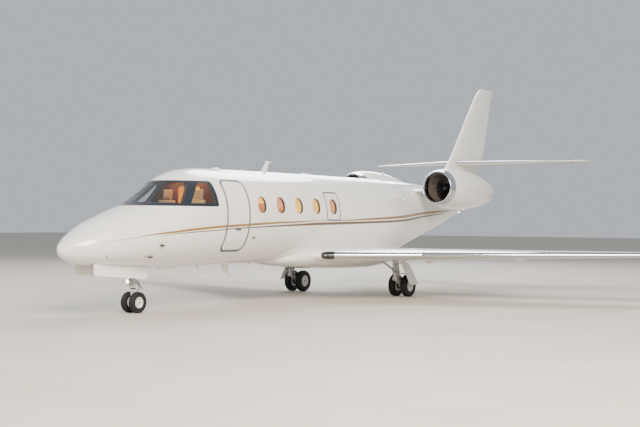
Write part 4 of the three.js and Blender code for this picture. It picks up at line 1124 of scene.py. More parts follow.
ROUND, given, out = new_tree("repeat_round_axis", [
    ("Count", "NodeSocketInt"), ("Centre", "NodeSocketVector"), ("Axis", "NodeSocketVector"),
    ("Material", "NodeSocketMaterial"),
])
back = add_node(ROUND, "ShaderNodeVectorMath", {0: given["Centre"], "Scale": -1.0}, operation="SCALE")
item = add_node(ROUND, "GeometryNodeTransform", {"Geometry": given["Geometry"], "Translation": back})
spots = add_node(ROUND, "GeometryNodePoints", {"Count": given["Count"]})
index = add_node(ROUND, "GeometryNodeInputIndex")
step = add_node(ROUND, "ShaderNodeMath", {0: 2 * math.pi, 1: given["Count"]}, operation="DIVIDE")
angle = add_node(ROUND, "ShaderNodeMath", {0: index, 1: step}, operation="MULTIPLY")
turn = add_node(ROUND, "FunctionNodeAxisAngleToRotation", {"Axis": given["Axis"], "Angle": angle})
where = {"Points": spots, "Instance": item, "Rotation": turn}
copies = add_node(ROUND, "GeometryNodeInstanceOnPoints", where)
real = add_node(ROUND, "GeometryNodeRealizeInstances", {"Geometry": copies})
home = add_node(ROUND, "GeometryNodeTransform", {"Geometry": real, "Translation": given["Centre"]})
done = add_node(ROUND, "GeometryNodeSetMaterial", {"Geometry": home, "Material": given["Material"]})
ROUND.links.new(done.outputs[0], out.inputs[0])


def round_axis(obj, finish, count, centre, axis):
    values = {"Count": count, "Centre": tuple(centre), "Axis": tuple(axis)}
    return healed(grown_by(obj, ROUND, finish, **values), 35, recalc=False)


# %% [markdown]
# ## Nacelles
# A nacelle is a body of revolution: a polished aluminium lip, a painted cowl and a nickel-alloy nozzle.
# The lathe's outline is a fair curve through the CAD's own radii.

# %% Engine axis and fair curves
NACELLE = {"x": 1300, "station": 11420, "z": 2675, "length": 2680, "drop": 75}
LIP_OUTLINE = [(190, 468), (70, 445), (8, 415), (8, 390), (80, 360), (190, 350)]
COWL_OUTSIDE = [(190.3, 468), (500, 510), (950, 526), (1500, 506), (2150, 425), (2680, 305)]
COWL_INSIDE = [(2680, 290), (2050, 386), (1000, 386), (900, 362), (190.3, 350)]
ENGINE_AXIS = Vector((0, NACELLE["length"], -NACELLE["drop"])).normalized()
ENGINE_FRONT = place(NACELLE["x"], NACELLE["station"], NACELLE["z"])


def on_axis(along):
    return ENGINE_FRONT + ENGINE_AXIS * along * MM


def fair(points, steps=8):
    """A Catmull-Rom curve through the points."""
    spots = [np.array(p, float) for p in points]
    result = []
    for i, (p1, p2) in enumerate(zip(spots, spots[1:])):
        p0, p3 = spots[max(i - 1, 0)], spots[min(i + 2, len(spots) - 1)]
        for k in range(steps):
            t = k / steps
            result.append(tuple(0.5 * (2 * p1 + (p2 - p0) * t + (2 * p0 - 5 * p1 + 4 * p2 - p3) * t * t
                                       + (3 * p1 - p0 - 3 * p2 + p3) * t ** 3)))
    return [*result, tuple(spots[-1])]


def coated(obj, finish):
    obj.data.materials.clear()
    obj.data.materials.append(finish)
    return obj


def engine_turned(name, outline, finish, sides=96):
    return coated(turned(name, outline, ENGINE_FRONT, ENGINE_AXIS, sides), finish)


def inward_faces(obj, finish):
    """The faces that look at the engine's axis get another finish, as a duct's inside does."""
    obj.data.materials.append(finish)
    for polygon in obj.data.polygons:
        away = polygon.center - ENGINE_FRONT
        radial = away - ENGINE_AXIS * away.dot(ENGINE_AXIS)
        if radial.normalized().dot(polygon.normal) < -0.2:
            polygon.material_index = 1
    return obj


# %% Lip, cowl and nozzle
lip = engine_turned("lip", [*fair(LIP_OUTLINE, 10), LIP_OUTLINE[0]], POLISHED, 128)
both_sides(lip, "intake_lip_skin", None, ["intake_lip"], slot="polished_metal")

COWL_CURVE = fair(COWL_OUTSIDE, 10)
cowl_outline = [*COWL_CURVE, (2684, 297), *fair(COWL_INSIDE, 6), COWL_OUTSIDE[0]]
cowl = inward_faces(engine_turned("cowl", cowl_outline, WHITE_PAINT, 128), DUCT)
both_sides(cowl, "cowl_skin", None, ["nacelle_cowl"], slot="white_composite")

nozzle = engine_turned("nozzle", [
    (2180, 379), (2300, 356), (2500, 318), (2660, 286), (2676, 281), (2676, 276), (2660, 279), (2500, 310),
    (2300, 348), (2180, 371), (2180, 379),
], HOT_METAL)
both_sides(nozzle, "exhaust_nozzle", None, slot="engine_metal")
print("nacelles set")

# %% [markdown]
# ## Fans and the engine behind them
# A fan blade is a thin twisted foil: coarse at the root, almost flat across the flow at its tip.
# One blade is lofted, and the tree repeats it. A row of straight vanes stands behind the fan.

# %% Fan, vanes and core
def blade_row(count, finish, root, tip, chord, thick, twist, station, rows=9):
    """Twisted foils round the port engine's axis; twist is in degrees, at the root and at the tip."""
    side = ENGINE_AXIS.cross(UP).normalized()
    other = ENGINE_AXIS.cross(side)
    rings = []
    for share in np.linspace(0, 1, rows):
        radius = root + (tip - root) * share
        angle = math.radians(twist[0] + (twist[1] - twist[0]) * share)
        along = ENGINE_AXIS * math.cos(angle) + other * math.sin(angle)
        flat = ENGINE_AXIS * -math.sin(angle) + other * math.cos(angle)
        ring = []
        for turn in np.linspace(0, 2 * math.pi, 14, endpoint=False):
            u = math.cos(turn) * chord * (0.5 + 0.08 * share)
            camber = 0.06 * chord * (1 - (2 * u / chord) ** 2)
            v = math.sin(turn) * thick * (1 - 0.5 * share) + camber
            ring.append(on_axis(station) + side * radius * MM + (along * u + flat * v) * MM)
        rings.append(ring)
    return round_axis(healed(loft("blade", rings), 40), finish, count, ENGINE_FRONT, ENGINE_AXIS)


fan_hub = engine_turned("fan_hub", [
    (390, 0), (394, 16), (410, 38), (450, 64), (520, 90), (590, 111), (640, 120), (688, 120), (688, 38),
    (640, 37), (640, 0),
], SPINNER, 64)
blades = blade_row(22, TITANIUM, 114, 344, 92, 5.0, (28, 58), 640)
both_sides(joined("fan", fan_hub, blades), "fan_wheel", None, ["fan"], body="fan", slot="engine_metal")

core = engine_turned("core", [
    (700, 0), (700, 118), (780, 150), (1000, 230), (1300, 300), (1700, 330), (2050, 330), (2180, 318),
    (2300, 285), (2302, 262), (2180, 250), (2180, 0),
], DUCT)
vanes = blade_row(34, STEEL, 150, 385, 110, 4.5, (8, 4), 860)
plug_outline = [(2182, 0), (2182, 170), (2260, 160), (2400, 110), (2520, 62), (2556, 40), (2560, 0)]
plug = engine_turned("plug", plug_outline, HOT_METAL)
lobes = blade_row(16, HOT_METAL, 262, 372, 260, 7.0, (0, 0), 2200, rows=6)
back_wall = engine_turned("back_wall", [(1900, 330), (1900, 385), (1906, 385), (1906, 330)], HOT_METAL)
inside = joined("inside", core, vanes, plug, lobes, back_wall)
both_sides(inside, "engine_inside", None, ["engine_core"], slot="engine_metal")
print("engines set")

# %% [markdown]
# ## Pylons
# A pylon is a stub wing that carries the engine. It ends at the cowl's own surface.

# %% Pylons
PYLON = {"inner": 300, "outer": 1150, "front": 11650, "chord": 2100, "z": 2600, "drop": 40}
PYLON_HALF = [(0, 0), (0.015, 20), (0.06, 40), (0.3, 62), (0.7, 50), (1, 6)]
shares = np.concatenate([np.linspace(0, 1, 14)[:-1] ** 2 * 0.3, np.linspace(0.3, 1, 18)])
halves = table_value(PYLON_HALF, 1, shares, np.sqrt)
ring = list(zip(shares, halves)) + [(c, -h) for c, h in zip(shares[::-1], halves[::-1])][:-1]
pylon = healed(loft("pylon", [[
    place(x, PYLON["front"] + c * PYLON["chord"], PYLON["z"] - c * PYLON["drop"] + h) for c, h in ring
] for x in np.linspace(PYLON["inner"], PYLON["outer"], 12)]), 40)
PYLON_SHAPE = form_of(pylon)
nacelle_outline = [(0, 0), (190, 466), *COWL_CURVE[1:], (2690, 0)]
carved(pylon, turned("nacelle_form", nacelle_outline, ENGINE_FRONT, ENGINE_AXIS, 96))
for side, mirror in reversed(SIDES):
    piece = shaded_like(copied(pylon, f"pylon_skin_{side}"), PYLON_SHAPE)
    if mirror:
        piece.data.transform(Matrix.Scale(-1, 4, (1, 0, 0)))
        healed(piece, 32)
    settled(piece, WHITE_PAINT, stands_for=[f"pylon_{side}"])
bpy.data.objects.remove(pylon)

# %% [markdown]
# ## Inside the cabin
# What shows through the panes is warm: lit leather, a drawn curtain, pleated window shades and wood veneer.
# The curtain and the shades glow with painted light.
# The floor, the divider and the bulkhead are cut from the lining's own form, so they meet the wall all round.

# %% Interior finishes
CARPET = speckled("loop_pile_carpet", "93816A", "76664F", 260.0, 0.6, 0.004, Roughness=0.95, Sheen_Weight=0.4)
VENEER, tree, shader, spot = new_finish("gloss_walnut_veneer", "6B3F22", Roughness=0.25, Coat_Weight=0.8)
stretch = add_node(tree, "ShaderNodeMapping", {"Vector": spot, "Scale": (60.0, 60.0, 2.5)})
streaks = {"Vector": stretch, "Scale": 1.0, "Detail": 8.0, "Distortion": 1.5}
grain = add_node(tree, "ShaderNodeTexNoise", streaks)
tints = {"Factor": grain, 6: hex_colour("8A5227"), 7: hex_colour("4A2A15")}
tone = add_node(tree, "ShaderNodeMix", tints, data_type="RGBA")
tree.links.new(tone.outputs[2], shader.inputs["Base Color"])
LEATHER, tree, shader, spot = new_finish("seat_leather_tan", "C9A678", Roughness=0.5)
pores = add_node(tree, "ShaderNodeTexVoronoi", {"Vector": spot, "Scale": 420.0}, feature="DISTANCE_TO_EDGE")
creases = add_node(tree, "ShaderNodeTexNoise", {"Vector": spot, "Scale": 26.0, "Detail": 6.0})
relief = add_node(tree, "ShaderNodeBump", {"Height": pores, "Strength": 0.25, "Distance": 0.0008})
folds = {"Height": creases, "Strength": 0.3, "Distance": 0.003, "Normal": relief}
relief = add_node(tree, "ShaderNodeBump", folds)
tints = {"Factor": creases, 6: hex_colour("D1AF82"), 7: hex_colour("B9945F")}
tone = add_node(tree, "ShaderNodeMix", tints, data_type="RGBA")
tree.links.new(tone.outputs[2], shader.inputs["Base Color"])
tree.links.new(relief.outputs[0], shader.inputs["Normal"])
SHELL_PLASTIC = speckled("seat_shell_plastic", "BCA98D", "AB987C", 200.0, 0.2, 0.0005, Roughness=0.5)
THREAD_SCALE = 1000.0 / 3.0 / 20  # threads 3 mm thick; a wave texture has 20 waves to the unit


def painted_glow_cloth(name, colour, darker, glow, strength):
    """Woven cloth whose threads cross in two directions, with a painted glow: its emission stands in for
    light on and through the cloth.
    """
    look = {"Roughness": 0.85, "Sheen_Weight": 0.3, "Emission_Strength": strength}
    material, tree, shader, spot = new_finish(name, colour, **look)
    shader.inputs["Emission Color"].default_value = hex_colour(glow)
    heights = []
    for direction in ("X", "Z"):
        threads = {"Vector": spot, "Scale": THREAD_SCALE, "Distortion": 0.4}
        wave = add_node(tree, "ShaderNodeTexWave", threads, bands_direction=direction)
        heights.append(wave.outputs["Fac"])
    weave = add_node(tree, "ShaderNodeMath", {0: heights[0], 1: heights[1]}, operation="MAXIMUM")
    tints = {"Factor": weave, 6: hex_colour(darker), 7: hex_colour(colour)}
    tone = add_node(tree, "ShaderNodeMix", tints, data_type="RGBA")
    relief = add_node(tree, "ShaderNodeBump", {"Height": weave, "Strength": 0.4, "Distance": 0.001})
    tree.links.new(tone.outputs[2], shader.inputs["Base Color"])
    tree.links.new(relief.outputs[0], shader.inputs["Normal"])
    return material, tree, shader, spot


# All three cloths glow with painted light. The shade cloth comes as a peach copy and a brighter yellow copy.
CURTAIN_CLOTH, tree, shader, spot = painted_glow_cloth("curtain_wool_painted_glow", "B8690C", "8A4E08", "FF9A14", 1.1)
SHADE_CLOTH = painted_glow_cloth("pleated_cloth_painted_glow", "E8A26E", "C98552", "F29A5C", 1.1)[0]
GLOW_CLOTH = painted_glow_cloth("pleated_cloth_brighter_painted_glow", "F3C35A", "DBA23A", "FFC64A", 1.5)[0]

# A painted highlight: the curtain's glow turns from orange to bright yellow towards its port edge.
across = add_node(tree, "ShaderNodeSeparateXYZ", {"Vector": spot})
painted_highlight_side = add_node(tree, "ShaderNodeMapRange", {"Value": across.outputs["X"], "From Min": 0.05, "From Max": 0.2})
tints = {"Factor": painted_highlight_side, 6: hex_colour("F09400"), 7: hex_colour("FFCC28")}
tone = add_node(tree, "ShaderNodeMix", tints, data_type="RGBA")
tree.links.new(tone.outputs[2], shader.inputs["Emission Color"])

# %% Floor, divider and bulkhead
FLOOR_TOP = 1100


def lined_plate(name, front, rear, low, high, inset=62):
    form = body_form(name, front - 5, rear + 5, inset)
    carved(form, plate("keep", (-3000, front, low), (3000, rear, high), 0.5), operation="INTERSECT")
    return healed(form, 30)


carpet = lined_plate("cabin_carpet", 2150, 9299, 1056, FLOOR_TOP)
settled(carpet, CARPET, slot="cabin_lining", stands_for=["cabin_floor"])
divider = lined_plate("cabin_divider", 3406, 3444, FLOOR_TOP + 1, 3000)
carved(divider, prism("doorway", rounded(-300, 300, 1000, 2480, 60), "s", 3300, 3500))
settled(healed(divider, 30), VENEER, slot="cabin_lining")
bulkhead = lined_plate("rear_bulkhead", 9242, 9299, FLOOR_TOP + 1, 3000)
settled(bulkhead, VENEER, slot="cabin_lining")
print("floor set")

# %% [markdown]
# ## Curtain and window shades
# The curtain hangs in gathers from a rail in the doorway. Its width is the path of its folds,
# so the flat cut is longer than the doorway is wide. A pleated shade is the same idea with small sharp folds.

# %% Curtain
def folded_sheet(name, path, low, high, rows):
    """Cloth between two heights along a folded path of (x, station); returns the piece and its flat width."""
    width = sum(math.dist(a, b) for a, b in zip(path, path[1:])) * MM
    heights = [high + (low - high) * r / (rows - 1) for r in range(rows)]
    points = [place(x, station, z) for z in heights for x, station in path]
    return healed(made(name, points, band_faces(rows, len(path), closed=False)), 180, recalc=False), width


CURTAIN_HALF, CURTAIN_STATION, CURTAIN_FOLDS = 286, 3425, 13
FOLD_STEPS = 140
fold_path = []
for i in range(FOLD_STEPS + 1):
    share = i / FOLD_STEPS
    depth = (11 + 3 * math.sin(share * 17)) * math.sin(share * 2 * math.pi * CURTAIN_FOLDS)
    fold_path.append((CURTAIN_HALF * (2 * share - 1), CURTAIN_STATION + depth))
curtain, curtain_width = folded_sheet("doorway_curtain", fold_path, 1125, 2440, 24)
settled(curtain, CURTAIN_CLOTH, slot="cabin_lining")
rail = bar("curtain_rail", *[place(x, CURTAIN_STATION, 2448) for x in (-300, 300)], 8)
settled(rail, STEEL, slot="cabin_lining")
print("curtain's flat width", round(curtain_width, 3))

# %% Window shades
def wall_x(station, z, inset=0.0):
    """Half the body's width, in millimetres, at a station and a height."""
    side = body_rings([station], inset, 512)[0][:256]
    return float(np.interp(-z * MM, -side[:, 2], side[:, 0])) / MM


SHADE_HALF, SHADE_LAP, PLEAT_DEPTH = 158, 14, 8


def pleated_shade(name, station, mirror, drawn):
    """A shade in its window's inner frame, drawn down by a share of its height, in small sharp folds."""
    top = WINDOW["centre"] + WINDOW["height"] / 2 + SHADE_LAP
    bottom = top - (WINDOW["height"] + 2 * SHADE_LAP) * drawn
    pleats = max(3, round(18 * drawn))
    heights = [top + (bottom - top) * i / (2 * pleats) for i in range(2 * pleats + 1)]
    sign = -1 if mirror else 1
    points = []
    for i, z in enumerate(heights):
        x = wall_x(station, z, 66) - (PLEAT_DEPTH if i % 2 else 0)
        spots = np.linspace(-SHADE_HALF, SHADE_HALF, 5)
        points += [place(sign * x, station + across, z) for across in spots]
    faces = band_faces(len(heights), 5, closed=False)
    if mirror:
        faces = [tuple(reversed(face)) for face in faces]
    length = sum((b - a).length for a, b in zip(points[::5], points[5::5]))
    return healed(made(name, points, faces), 10, recalc=False), length


# Every shade glows with painted light, the yellow cloth more brightly than the peach one.
SHADES = (
    ("1", 0.42, GLOW_CLOTH), ("2", 0.66, SHADE_CLOTH), ("3", 0.97, GLOW_CLOTH), ("4", 0.97, GLOW_CLOTH),
    ("5", 0.97, SHADE_CLOTH),
)
for side, mirror in SIDES:
    for (label, drawn, cloth), station in zip(SHADES, WINDOW["stations"]):
        shade, length = pleated_shade(f"window_shade_{label}_{side}", station, mirror, drawn)
        settled(shade, cloth, slot="cabin_lining")
print("shades set")

# %% [markdown]
# ## Seats
# A seat cushion is foam under leather: full in the middle, pulled in at its seams.
# Each cushion starts as a slightly small block, is blown up by a cloth simulation with pressure,
# and then gets its sewn channels. One set is simulated and copied to all six seats.

# %% Cushions
CROWN_SHARE = np.array((0.2, 0.2, 1.0))  # a sewn frame keeps the outline, and only the crown swells
SWELL_LIMIT = 0.016


def cushion(name, width, length, thick, channels=(), grid=30):
    """A crowned pad in its own box: x across, y along, z thick; the channels are y places across the pad."""
    def spot(corner):
        return Vector((corner.x * width * 0.95, corner.y * length * 0.95, corner.z * thick * 0.72)) * MM
    obj = block(name, spot, thick * 0.16 * MM)
    remesh = obj.modifiers.new("even_faces", "REMESH")
    remesh.mode = "VOXEL"
    remesh.voxel_size = width * MM / grid
    baked(obj)
    start = np.array([v.co for v in obj.data.vertices])
    cloth = obj.modifiers.new("leather", "CLOTH")
    cloth.settings.use_pressure = True
    cloth.settings.uniform_pressure_force = 4.0
    cloth.settings.quality = 4
    cloth.settings.effector_weights.gravity = 0.0
    cloth.collision_settings.use_collision = False
    for number in range(1, 15):
        bpy.context.scene.frame_set(number)
    baked(obj)
    bpy.context.scene.frame_set(1)
    moved = np.array([v.co for v in obj.data.vertices]) - start
    size = np.linalg.norm(moved, axis=1, keepdims=True)
    start += moved * np.minimum(1, SWELL_LIMIT / np.maximum(size, 1e-9)) * CROWN_SHARE
    obj.data.vertices.foreach_set("co", start.ravel())
    places = np.array([v.co for v in obj.data.vertices])
    for spot in channels:
        near = np.exp(-(((places[:, 1] / MM - spot) / 7.0) ** 2))
        places[:, 2] -= np.sign(places[:, 2]) * near * 0.007 * (np.abs(places[:, 2]) > thick * 0.2 * MM)
    span = np.abs(places).max(axis=0)
    places *= np.minimum(1, np.array([width, length, thick]) * 0.5 * MM / span)
    obj.data.vertices.foreach_set("co", places.ravel())
    return healed(obj, 60, recalc=False)


PAD_WIDTH = 440
CUSHIONS = {  # the pad, its middle in the seat, and its tilt in degrees
    "base": (cushion("base_pad", PAD_WIDTH, 520, 188, (-150, -60, 30, 120)), Vector((0, 260, 335)), 0.0),
    "back": (
        cushion("back_pad", PAD_WIDTH, 735, 108, (-230, -140, -50, 40, 130)), Vector((0, 566, 745)), 77.8,
    ),
    "head": (cushion("head_pad", 240, 215, 88, ()), Vector((0, 660, 1192)), 81.0),
}


def padded_seat(name, x, station, width, facing, nodes):
    """The three cushions, a plastic shell, arm rests and a plinth, set where the CAD's seat is."""
    for part, (pad, centre, tilt) in CUSHIONS.items():
        piece = copied(pad, f"{name}_{part}")
        turn = Matrix.Rotation(math.radians(tilt), 4, "X")
        scale = Matrix.Scale(width / PAD_WIDTH, 4, (1, 0, 0))
        piece.data.transform(Matrix.Translation(centre * MM) @ turn @ scale)
        if facing < 0:
            piece.data.transform(Matrix.Rotation(math.pi, 4, "Z"))
        piece.data.transform(Matrix.Translation(place(x, station, FLOOR_TOP)))
        settled(healed(piece, 60, recalc=False), LEATHER, slot="seat_leather", stands_for=nodes)
    half = width / 2

    def at(across, along, height):
        return x + across, station + facing * along, FLOOR_TOP + height

    def slab(label, low, high, radius):
        a, b = at(*low), at(*high)
        return plate(label, [min(p, q) for p, q in zip(a, b)], [max(p, q) for p, q in zip(a, b)], radius)
    hard = [
        slab("plinth", (-half + 142, 60, 1), (half - 142, 500, 60), 8),
        slab("column", (-70, 170, 50), (70, 400, 236), 10),
        slab("pan", (-half + 12, 20, 226), (half - 12, 520, 246), 6),
    ]
    for sign in (-1, 1):
        hard.append(slab("arm_post", (sign * (half - 26), 330, 300), (sign * (half - 4), 380, 520), 6))
        hard.append(slab("arm", (sign * (half - 40), 130, 510), (sign * (half + 4), 470, 545), 14))
    shell_piece = joined(f"{name}_shell", *hard)
    settled(healed(shell_piece, 40, recalc=False), SHELL_PLASTIC, slot="seat_leather")


padded_seat("pilot_seat", 410, 2590, PAD_WIDTH, 1, ["pilot_seat"])
padded_seat("copilot_seat", -410, 2590, PAD_WIDTH, 1, ["copilot_seat"])
SIGNS = (("port", 1), ("starboard", -1))
for side, sign in SIGNS:
    padded_seat(f"club_front_{side}", sign * 440, 5150, 480, -1, [f"club_seats_{side}"])
    padded_seat(f"club_rear_{side}", sign * 440, 5480, 480, 1, [f"club_seats_{side}"])
    low, high = sorted((sign * 345, sign * 530))
    step = plate(f"club_step_{side}", (low, 4700, FLOOR_TOP + 1), (high, 6000, FLOOR_TOP + 60), 8, 3)
    settled(healed(step, 40, recalc=False), SHELL_PLASTIC, slot="seat_leather")
for pad, _, _ in CUSHIONS.values():
    bpy.data.objects.remove(pad)
print("seats set")

# %% [markdown]
# ## Instrument panel
# Four flat displays sit in a moulded panel under a dark glare shield, with a pedestal between the seats.
# The displays are faintly lit, as they are at night.

# %% Panel, displays and levers
DISPLAY_LOOK = {"Roughness": 0.1, "Coat_Weight": 1.0, "Emission_Strength": 0.5}
DISPLAY, tree, shader, spot = new_finish("display_glass", "0A1420", **DISPLAY_LOOK)
height = add_node(tree, "ShaderNodeSeparateXYZ", {"Vector": spot}).outputs["Z"]
sky = add_node(tree, "ShaderNodeMapRange", {"Value": height, "From Min": 1.822, "From Max": 1.828})
tints = {"Factor": sky, 6: hex_colour("5A3A1C"), 7: hex_colour("1E5FA8")}
tone = add_node(tree, "ShaderNodeMix", tints, data_type="RGBA")
tree.links.new(tone.outputs[2], shader.inputs["Emission Color"])
board = lined_plate("panel_board", 2140, 2228, 1330, 2002, 76)
shield = lined_plate("glare_shield", 1962, 2238, 2003, 2056, 76)
pedestal = plate("pedestal", (-148, 2232, FLOOR_TOP + 2), (148, 2758, 1556), 18, 3)
levers = []
for x in (-45, -15, 15, 45):
    levers.append(plate("lever", (x - 5, 2480, 1550), (x + 5, 2500, 1640), 3))
    levers.append(plate("knob", (x - 11, 2474, 1632), (x + 11, 2506, 1656), 8, 3))
SCREEN_SPOTS = (-520, -270, 60, 310)
bezels = [plate("bezel", (x, 2222, 1690), (x + 215, 2236, 1960), 5) for x in SCREEN_SPOTS]
board_parts = [board, pedestal, *levers, *bezels]
said = {"slot": "panel_plastic", "stands_for": ["instrument_panel"]}
grouped("instrument_panel_board", board_parts, PANEL_PLASTIC, 35, recalc=False, **said)
settled(shield, PANEL_PLASTIC, slot="panel_plastic")
screens = [plate("screen", (x + 10, 2232, 1702), (x + 205, 2238.5, 1948), 2) for x in SCREEN_SPOTS]
grouped("displays", screens, DISPLAY, 35, recalc=False, slot="panel_plastic")
for side, sign in SIGNS:
    x = sign * 410
    grip = [bar("column", place(x, 2240, 1620), place(x, 2400, 1640), 16)]
    grip.append(bar("cross", place(x - 110, 2400, 1640), place(x + 110, 2400, 1640), 13))
    for end in (-110, 110):
        grip.append(bar("horn", place(x + end, 2400, 1632), place(x + end * 1.2, 2395, 1745), 15))
    grouped(f"control_yoke_{side}", grip, PANEL_PLASTIC, 35, recalc=False, slot="panel_plastic")

# %% Cabin lamps
DIFFUSER_LOOK = {"Roughness": 0.4, "Emission_Strength": 45.0}
LAMP_GLOW, tree, shader, spot = new_finish("warm_lamp_diffuser", "FFE3B0", **DIFFUSER_LOOK)
shader.inputs["Emission Color"].default_value = hex_colour("FFC978")
ribs = add_node(tree, "ShaderNodeTexWave", {"Vector": spot, "Scale": 25.0}, bands_direction="Y")
relief = add_node(tree, "ShaderNodeBump", {"Height": ribs.outputs["Fac"], "Strength": 0.3, "Distance": 0.001})
tree.links.new(relief.outputs[0], shader.inputs["Normal"])
LAMP_STRIPS = (  # x, half width, front, rear, height
    (330, 22, 3600, 6000, 2640), (330, 22, 6060, 9100, 2640), (300, 20, 2900, 3380, 2560),
)
for side, sign in SIGNS:
    strips = []
    for x, half, front, rear, z in LAMP_STRIPS:
        strips.append(plate("strip", (sign * x - half, front, z), (sign * x + half, rear, z + 14), 6))
    grouped(f"cabin_lamp_strips_{side}", strips, LAMP_GLOW, 35, recalc=False, slot="cabin_lining")
print("interior set")

# %% [markdown]
# ## Landing gear
# An aircraft tyre has plain ribs with water grooves between them, and no tread blocks.
# A wheel is two forged halves held by tie bolts, with round holes that let brake heat out.

# %% Tyres and wheels
NOSE_WHEEL = {
    "station": 1880, "radius": 203, "width": 108, "half": 107, "rim": 104, "axle": 20, "holes": 8, "hole": 15,
}
MAIN_WHEEL = {
    "station": 9300, "radius": 265, "width": 158, "half": 168, "rim": 136, "axle": 30, "holes": 9, "hole": 18,
}
LEG_X, LEG_STATION = 1545, 8990
SIDEWAYS = (1, 0, 0)


def tyre_mesh(name, x, spec, grooves):
    w, rim, radius = spec["width"] / 2, spec["rim"], spec["radius"]
    deep = radius - rim
    wall = fair([
        (-0.72 * w, rim), (-0.85 * w, rim + 0.05 * deep), (-0.96 * w, rim + 0.27 * deep),
        (-w, rim + 0.5 * deep), (-0.96 * w, rim + 0.73 * deep), (-0.85 * w, rim + 0.89 * deep),
        (-0.66 * w, rim + 0.965 * deep),
    ], 6)
    tread = []
    for share in grooves:
        middle = share * w
        for off, cut in ((-5, 0), (-3, 6), (3, 6), (5, 0)):
            tread.append((middle + off, radius - 0.035 * deep * ((middle + off) / (0.66 * w)) ** 2 - cut))
    outline = [*wall, *tread, *[(-a, r) for a, r in reversed(wall)], wall[0]]
    return coated(turned(name, outline, place(x, spec["station"], radius), SIDEWAYS, 120), RUBBER)


def wheel_mesh(name, x, spec):
    w, rim = spec["width"] / 2, spec["rim"]
    origin = place(x, spec["station"], spec["radius"])
    side = [
        (0.72 * w, rim - 0.5), (0.735 * w, rim + 7), (0.78 * w, rim + 7), (0.8 * w, rim + 3),
        (0.78 * w, rim - 6), (0.56 * w, rim - 12), (0.36 * w, rim - 19), (0.29 * w, 0.78 * rim),
        (0.27 * w, 0.54 * rim), (0.34 * w, 0.44 * rim), (0.58 * w, 0.4 * rim), (0.64 * w, 0.35 * rim),
        (0.7 * w, 0.22 * rim), (0.72 * w, 0.08 * rim), (0.72 * w, 0),
    ]
    outline = [*[(-a, r) for a, r in reversed(side)], *side]
    wheel = coated(turned(name, outline, origin, SIDEWAYS, 96), WHEEL_ALLOY)
    high = place(x - w, spec["station"], spec["radius"] + 0.67 * rim)
    cutter = bar("hole", high, high + Vector((2 * w * MM, 0, 0)), spec["hole"], sides=24)
    carved(wheel, round_axis(cutter, WHEEL_ALLOY, spec["holes"], origin, SIDEWAYS))
    healed(wheel, 35)
    low = place(x - 0.335 * w, spec["station"], spec["radius"] + 0.5 * rim)
    bolt = bar("tie_bolt", low, low + Vector((0.67 * w * MM, 0, 0)), 5.5, sides=6, bevel=1.0)
    return [wheel, round_axis(bolt, STEEL, spec["holes"], origin, SIDEWAYS)]


def wheel_set(name, x, spec, body, hub_node, tyre_nodes, grooves):
    """Two wheels on one live axle, with their tyres."""
    reach = spec["half"] + spec["width"] * 0.3
    centre = (spec["station"], spec["radius"])
    parts = [coated(bar("axle", place(x - reach, *centre), place(x + reach, *centre), spec["axle"]), STEEL)]
    for sign in (-1, 1):
        parts += wheel_mesh("wheel", x + sign * spec["half"], spec)
        face = x + sign * (spec["half"] + 0.36 * spec["width"])
        ends = place(face - 4, *centre), place(face + 4, *centre)
        # The dark cap at each hub's middle is painted shade, standing in for the shadowed hole there.
        parts.append(coated(bar("dark_cap_painted_shade", *ends, 0.17 * spec["rim"], bevel=1.5), SEAL))
    settled(joined(f"{name}_wheels", *parts), None, body=body, slot="gear_steel", stands_for=[hub_node])
    for sign, node in zip((-1, 1), tyre_nodes):
        obj = tyre_mesh(f"{node}_ribbed", x + sign * spec["half"], spec, grooves)
        settled(healed(obj, 32), RUBBER, body=body, slot="tyre", stands_for=[node])


NOSE_TYRES = ("nose_tyre_starboard", "nose_tyre_port")
wheel_set("nose", 0, NOSE_WHEEL, "nose_wheels", "nose_hubs", NOSE_TYRES, (-0.28, 0.28))
GROOVES = (-0.42, -0.14, 0.14, 0.42)
for side, sign in SIGNS:
    tyres = [f"main_tyre_inner_{side}", f"main_tyre_outer_{side}"][::sign]
    body, hubs = f"main_wheels_{side}", f"main_hubs_{side}"
    wheel_set(f"main_{side}", sign * LEG_X, MAIN_WHEEL, body, hubs, tyres, GROOVES)
print("wheels set")

# %% [markdown]
# ## Legs
# A forging has round-cornered sections that swell at each pin, so an arm is a small loft of such sections.
# Pipes are a bent curve with a round section, made into a mesh.

# %% Arms, pipes and rings
def beam(name, start, end, first, last, across=SIDEWAYS, rings=5, waist=0.85):
    """A forged arm; first and last hold its width and depth, and the waist narrows its middle."""
    start, end = place(*start), place(*end)
    run = (end - start).normalized()
    side = Vector(across)
    side = (side - run * side.dot(run)).normalized()
    rise = run.cross(side)
    sections = []
    for share in np.linspace(0, 1, rings):
        thin = 1 - (1 - waist) * math.sin(math.pi * share)
        wide, deep = ((a + (b - a) * share) * thin for a, b in zip(first, last))
        middle = start + (end - start) * share
        corner = 0.3 * min(wide, deep)
        outline = rounded(-wide / 2, wide / 2, -deep / 2, deep / 2, corner, 3)
        sections.append([middle + (side * u + rise * v) * MM for u, v in outline])
    return healed(loft(name, sections), 40)


def pipe(name, points, radius):
    curve = bpy.data.curves.new(name, "CURVE")
    curve.dimensions = "3D"
    curve.bevel_depth = radius * MM
    curve.bevel_resolution = 3
    curve.use_fill_caps = True
    path = fair(points, 6)
    spline = curve.splines.new("POLY")
    spline.points.add(len(path) - 1)
    for spot, p in zip(spline.points, path):
        spot.co = (*place(*p), 1.0)
    holder = linked(name, curve)
    bpy.context.view_layer.update()
    mesh = bpy.data.meshes.new_from_object(holder.evaluated_get(bpy.context.evaluated_depsgraph_get()))
    bpy.data.objects.remove(holder)
    return healed(linked(name, mesh), 40)


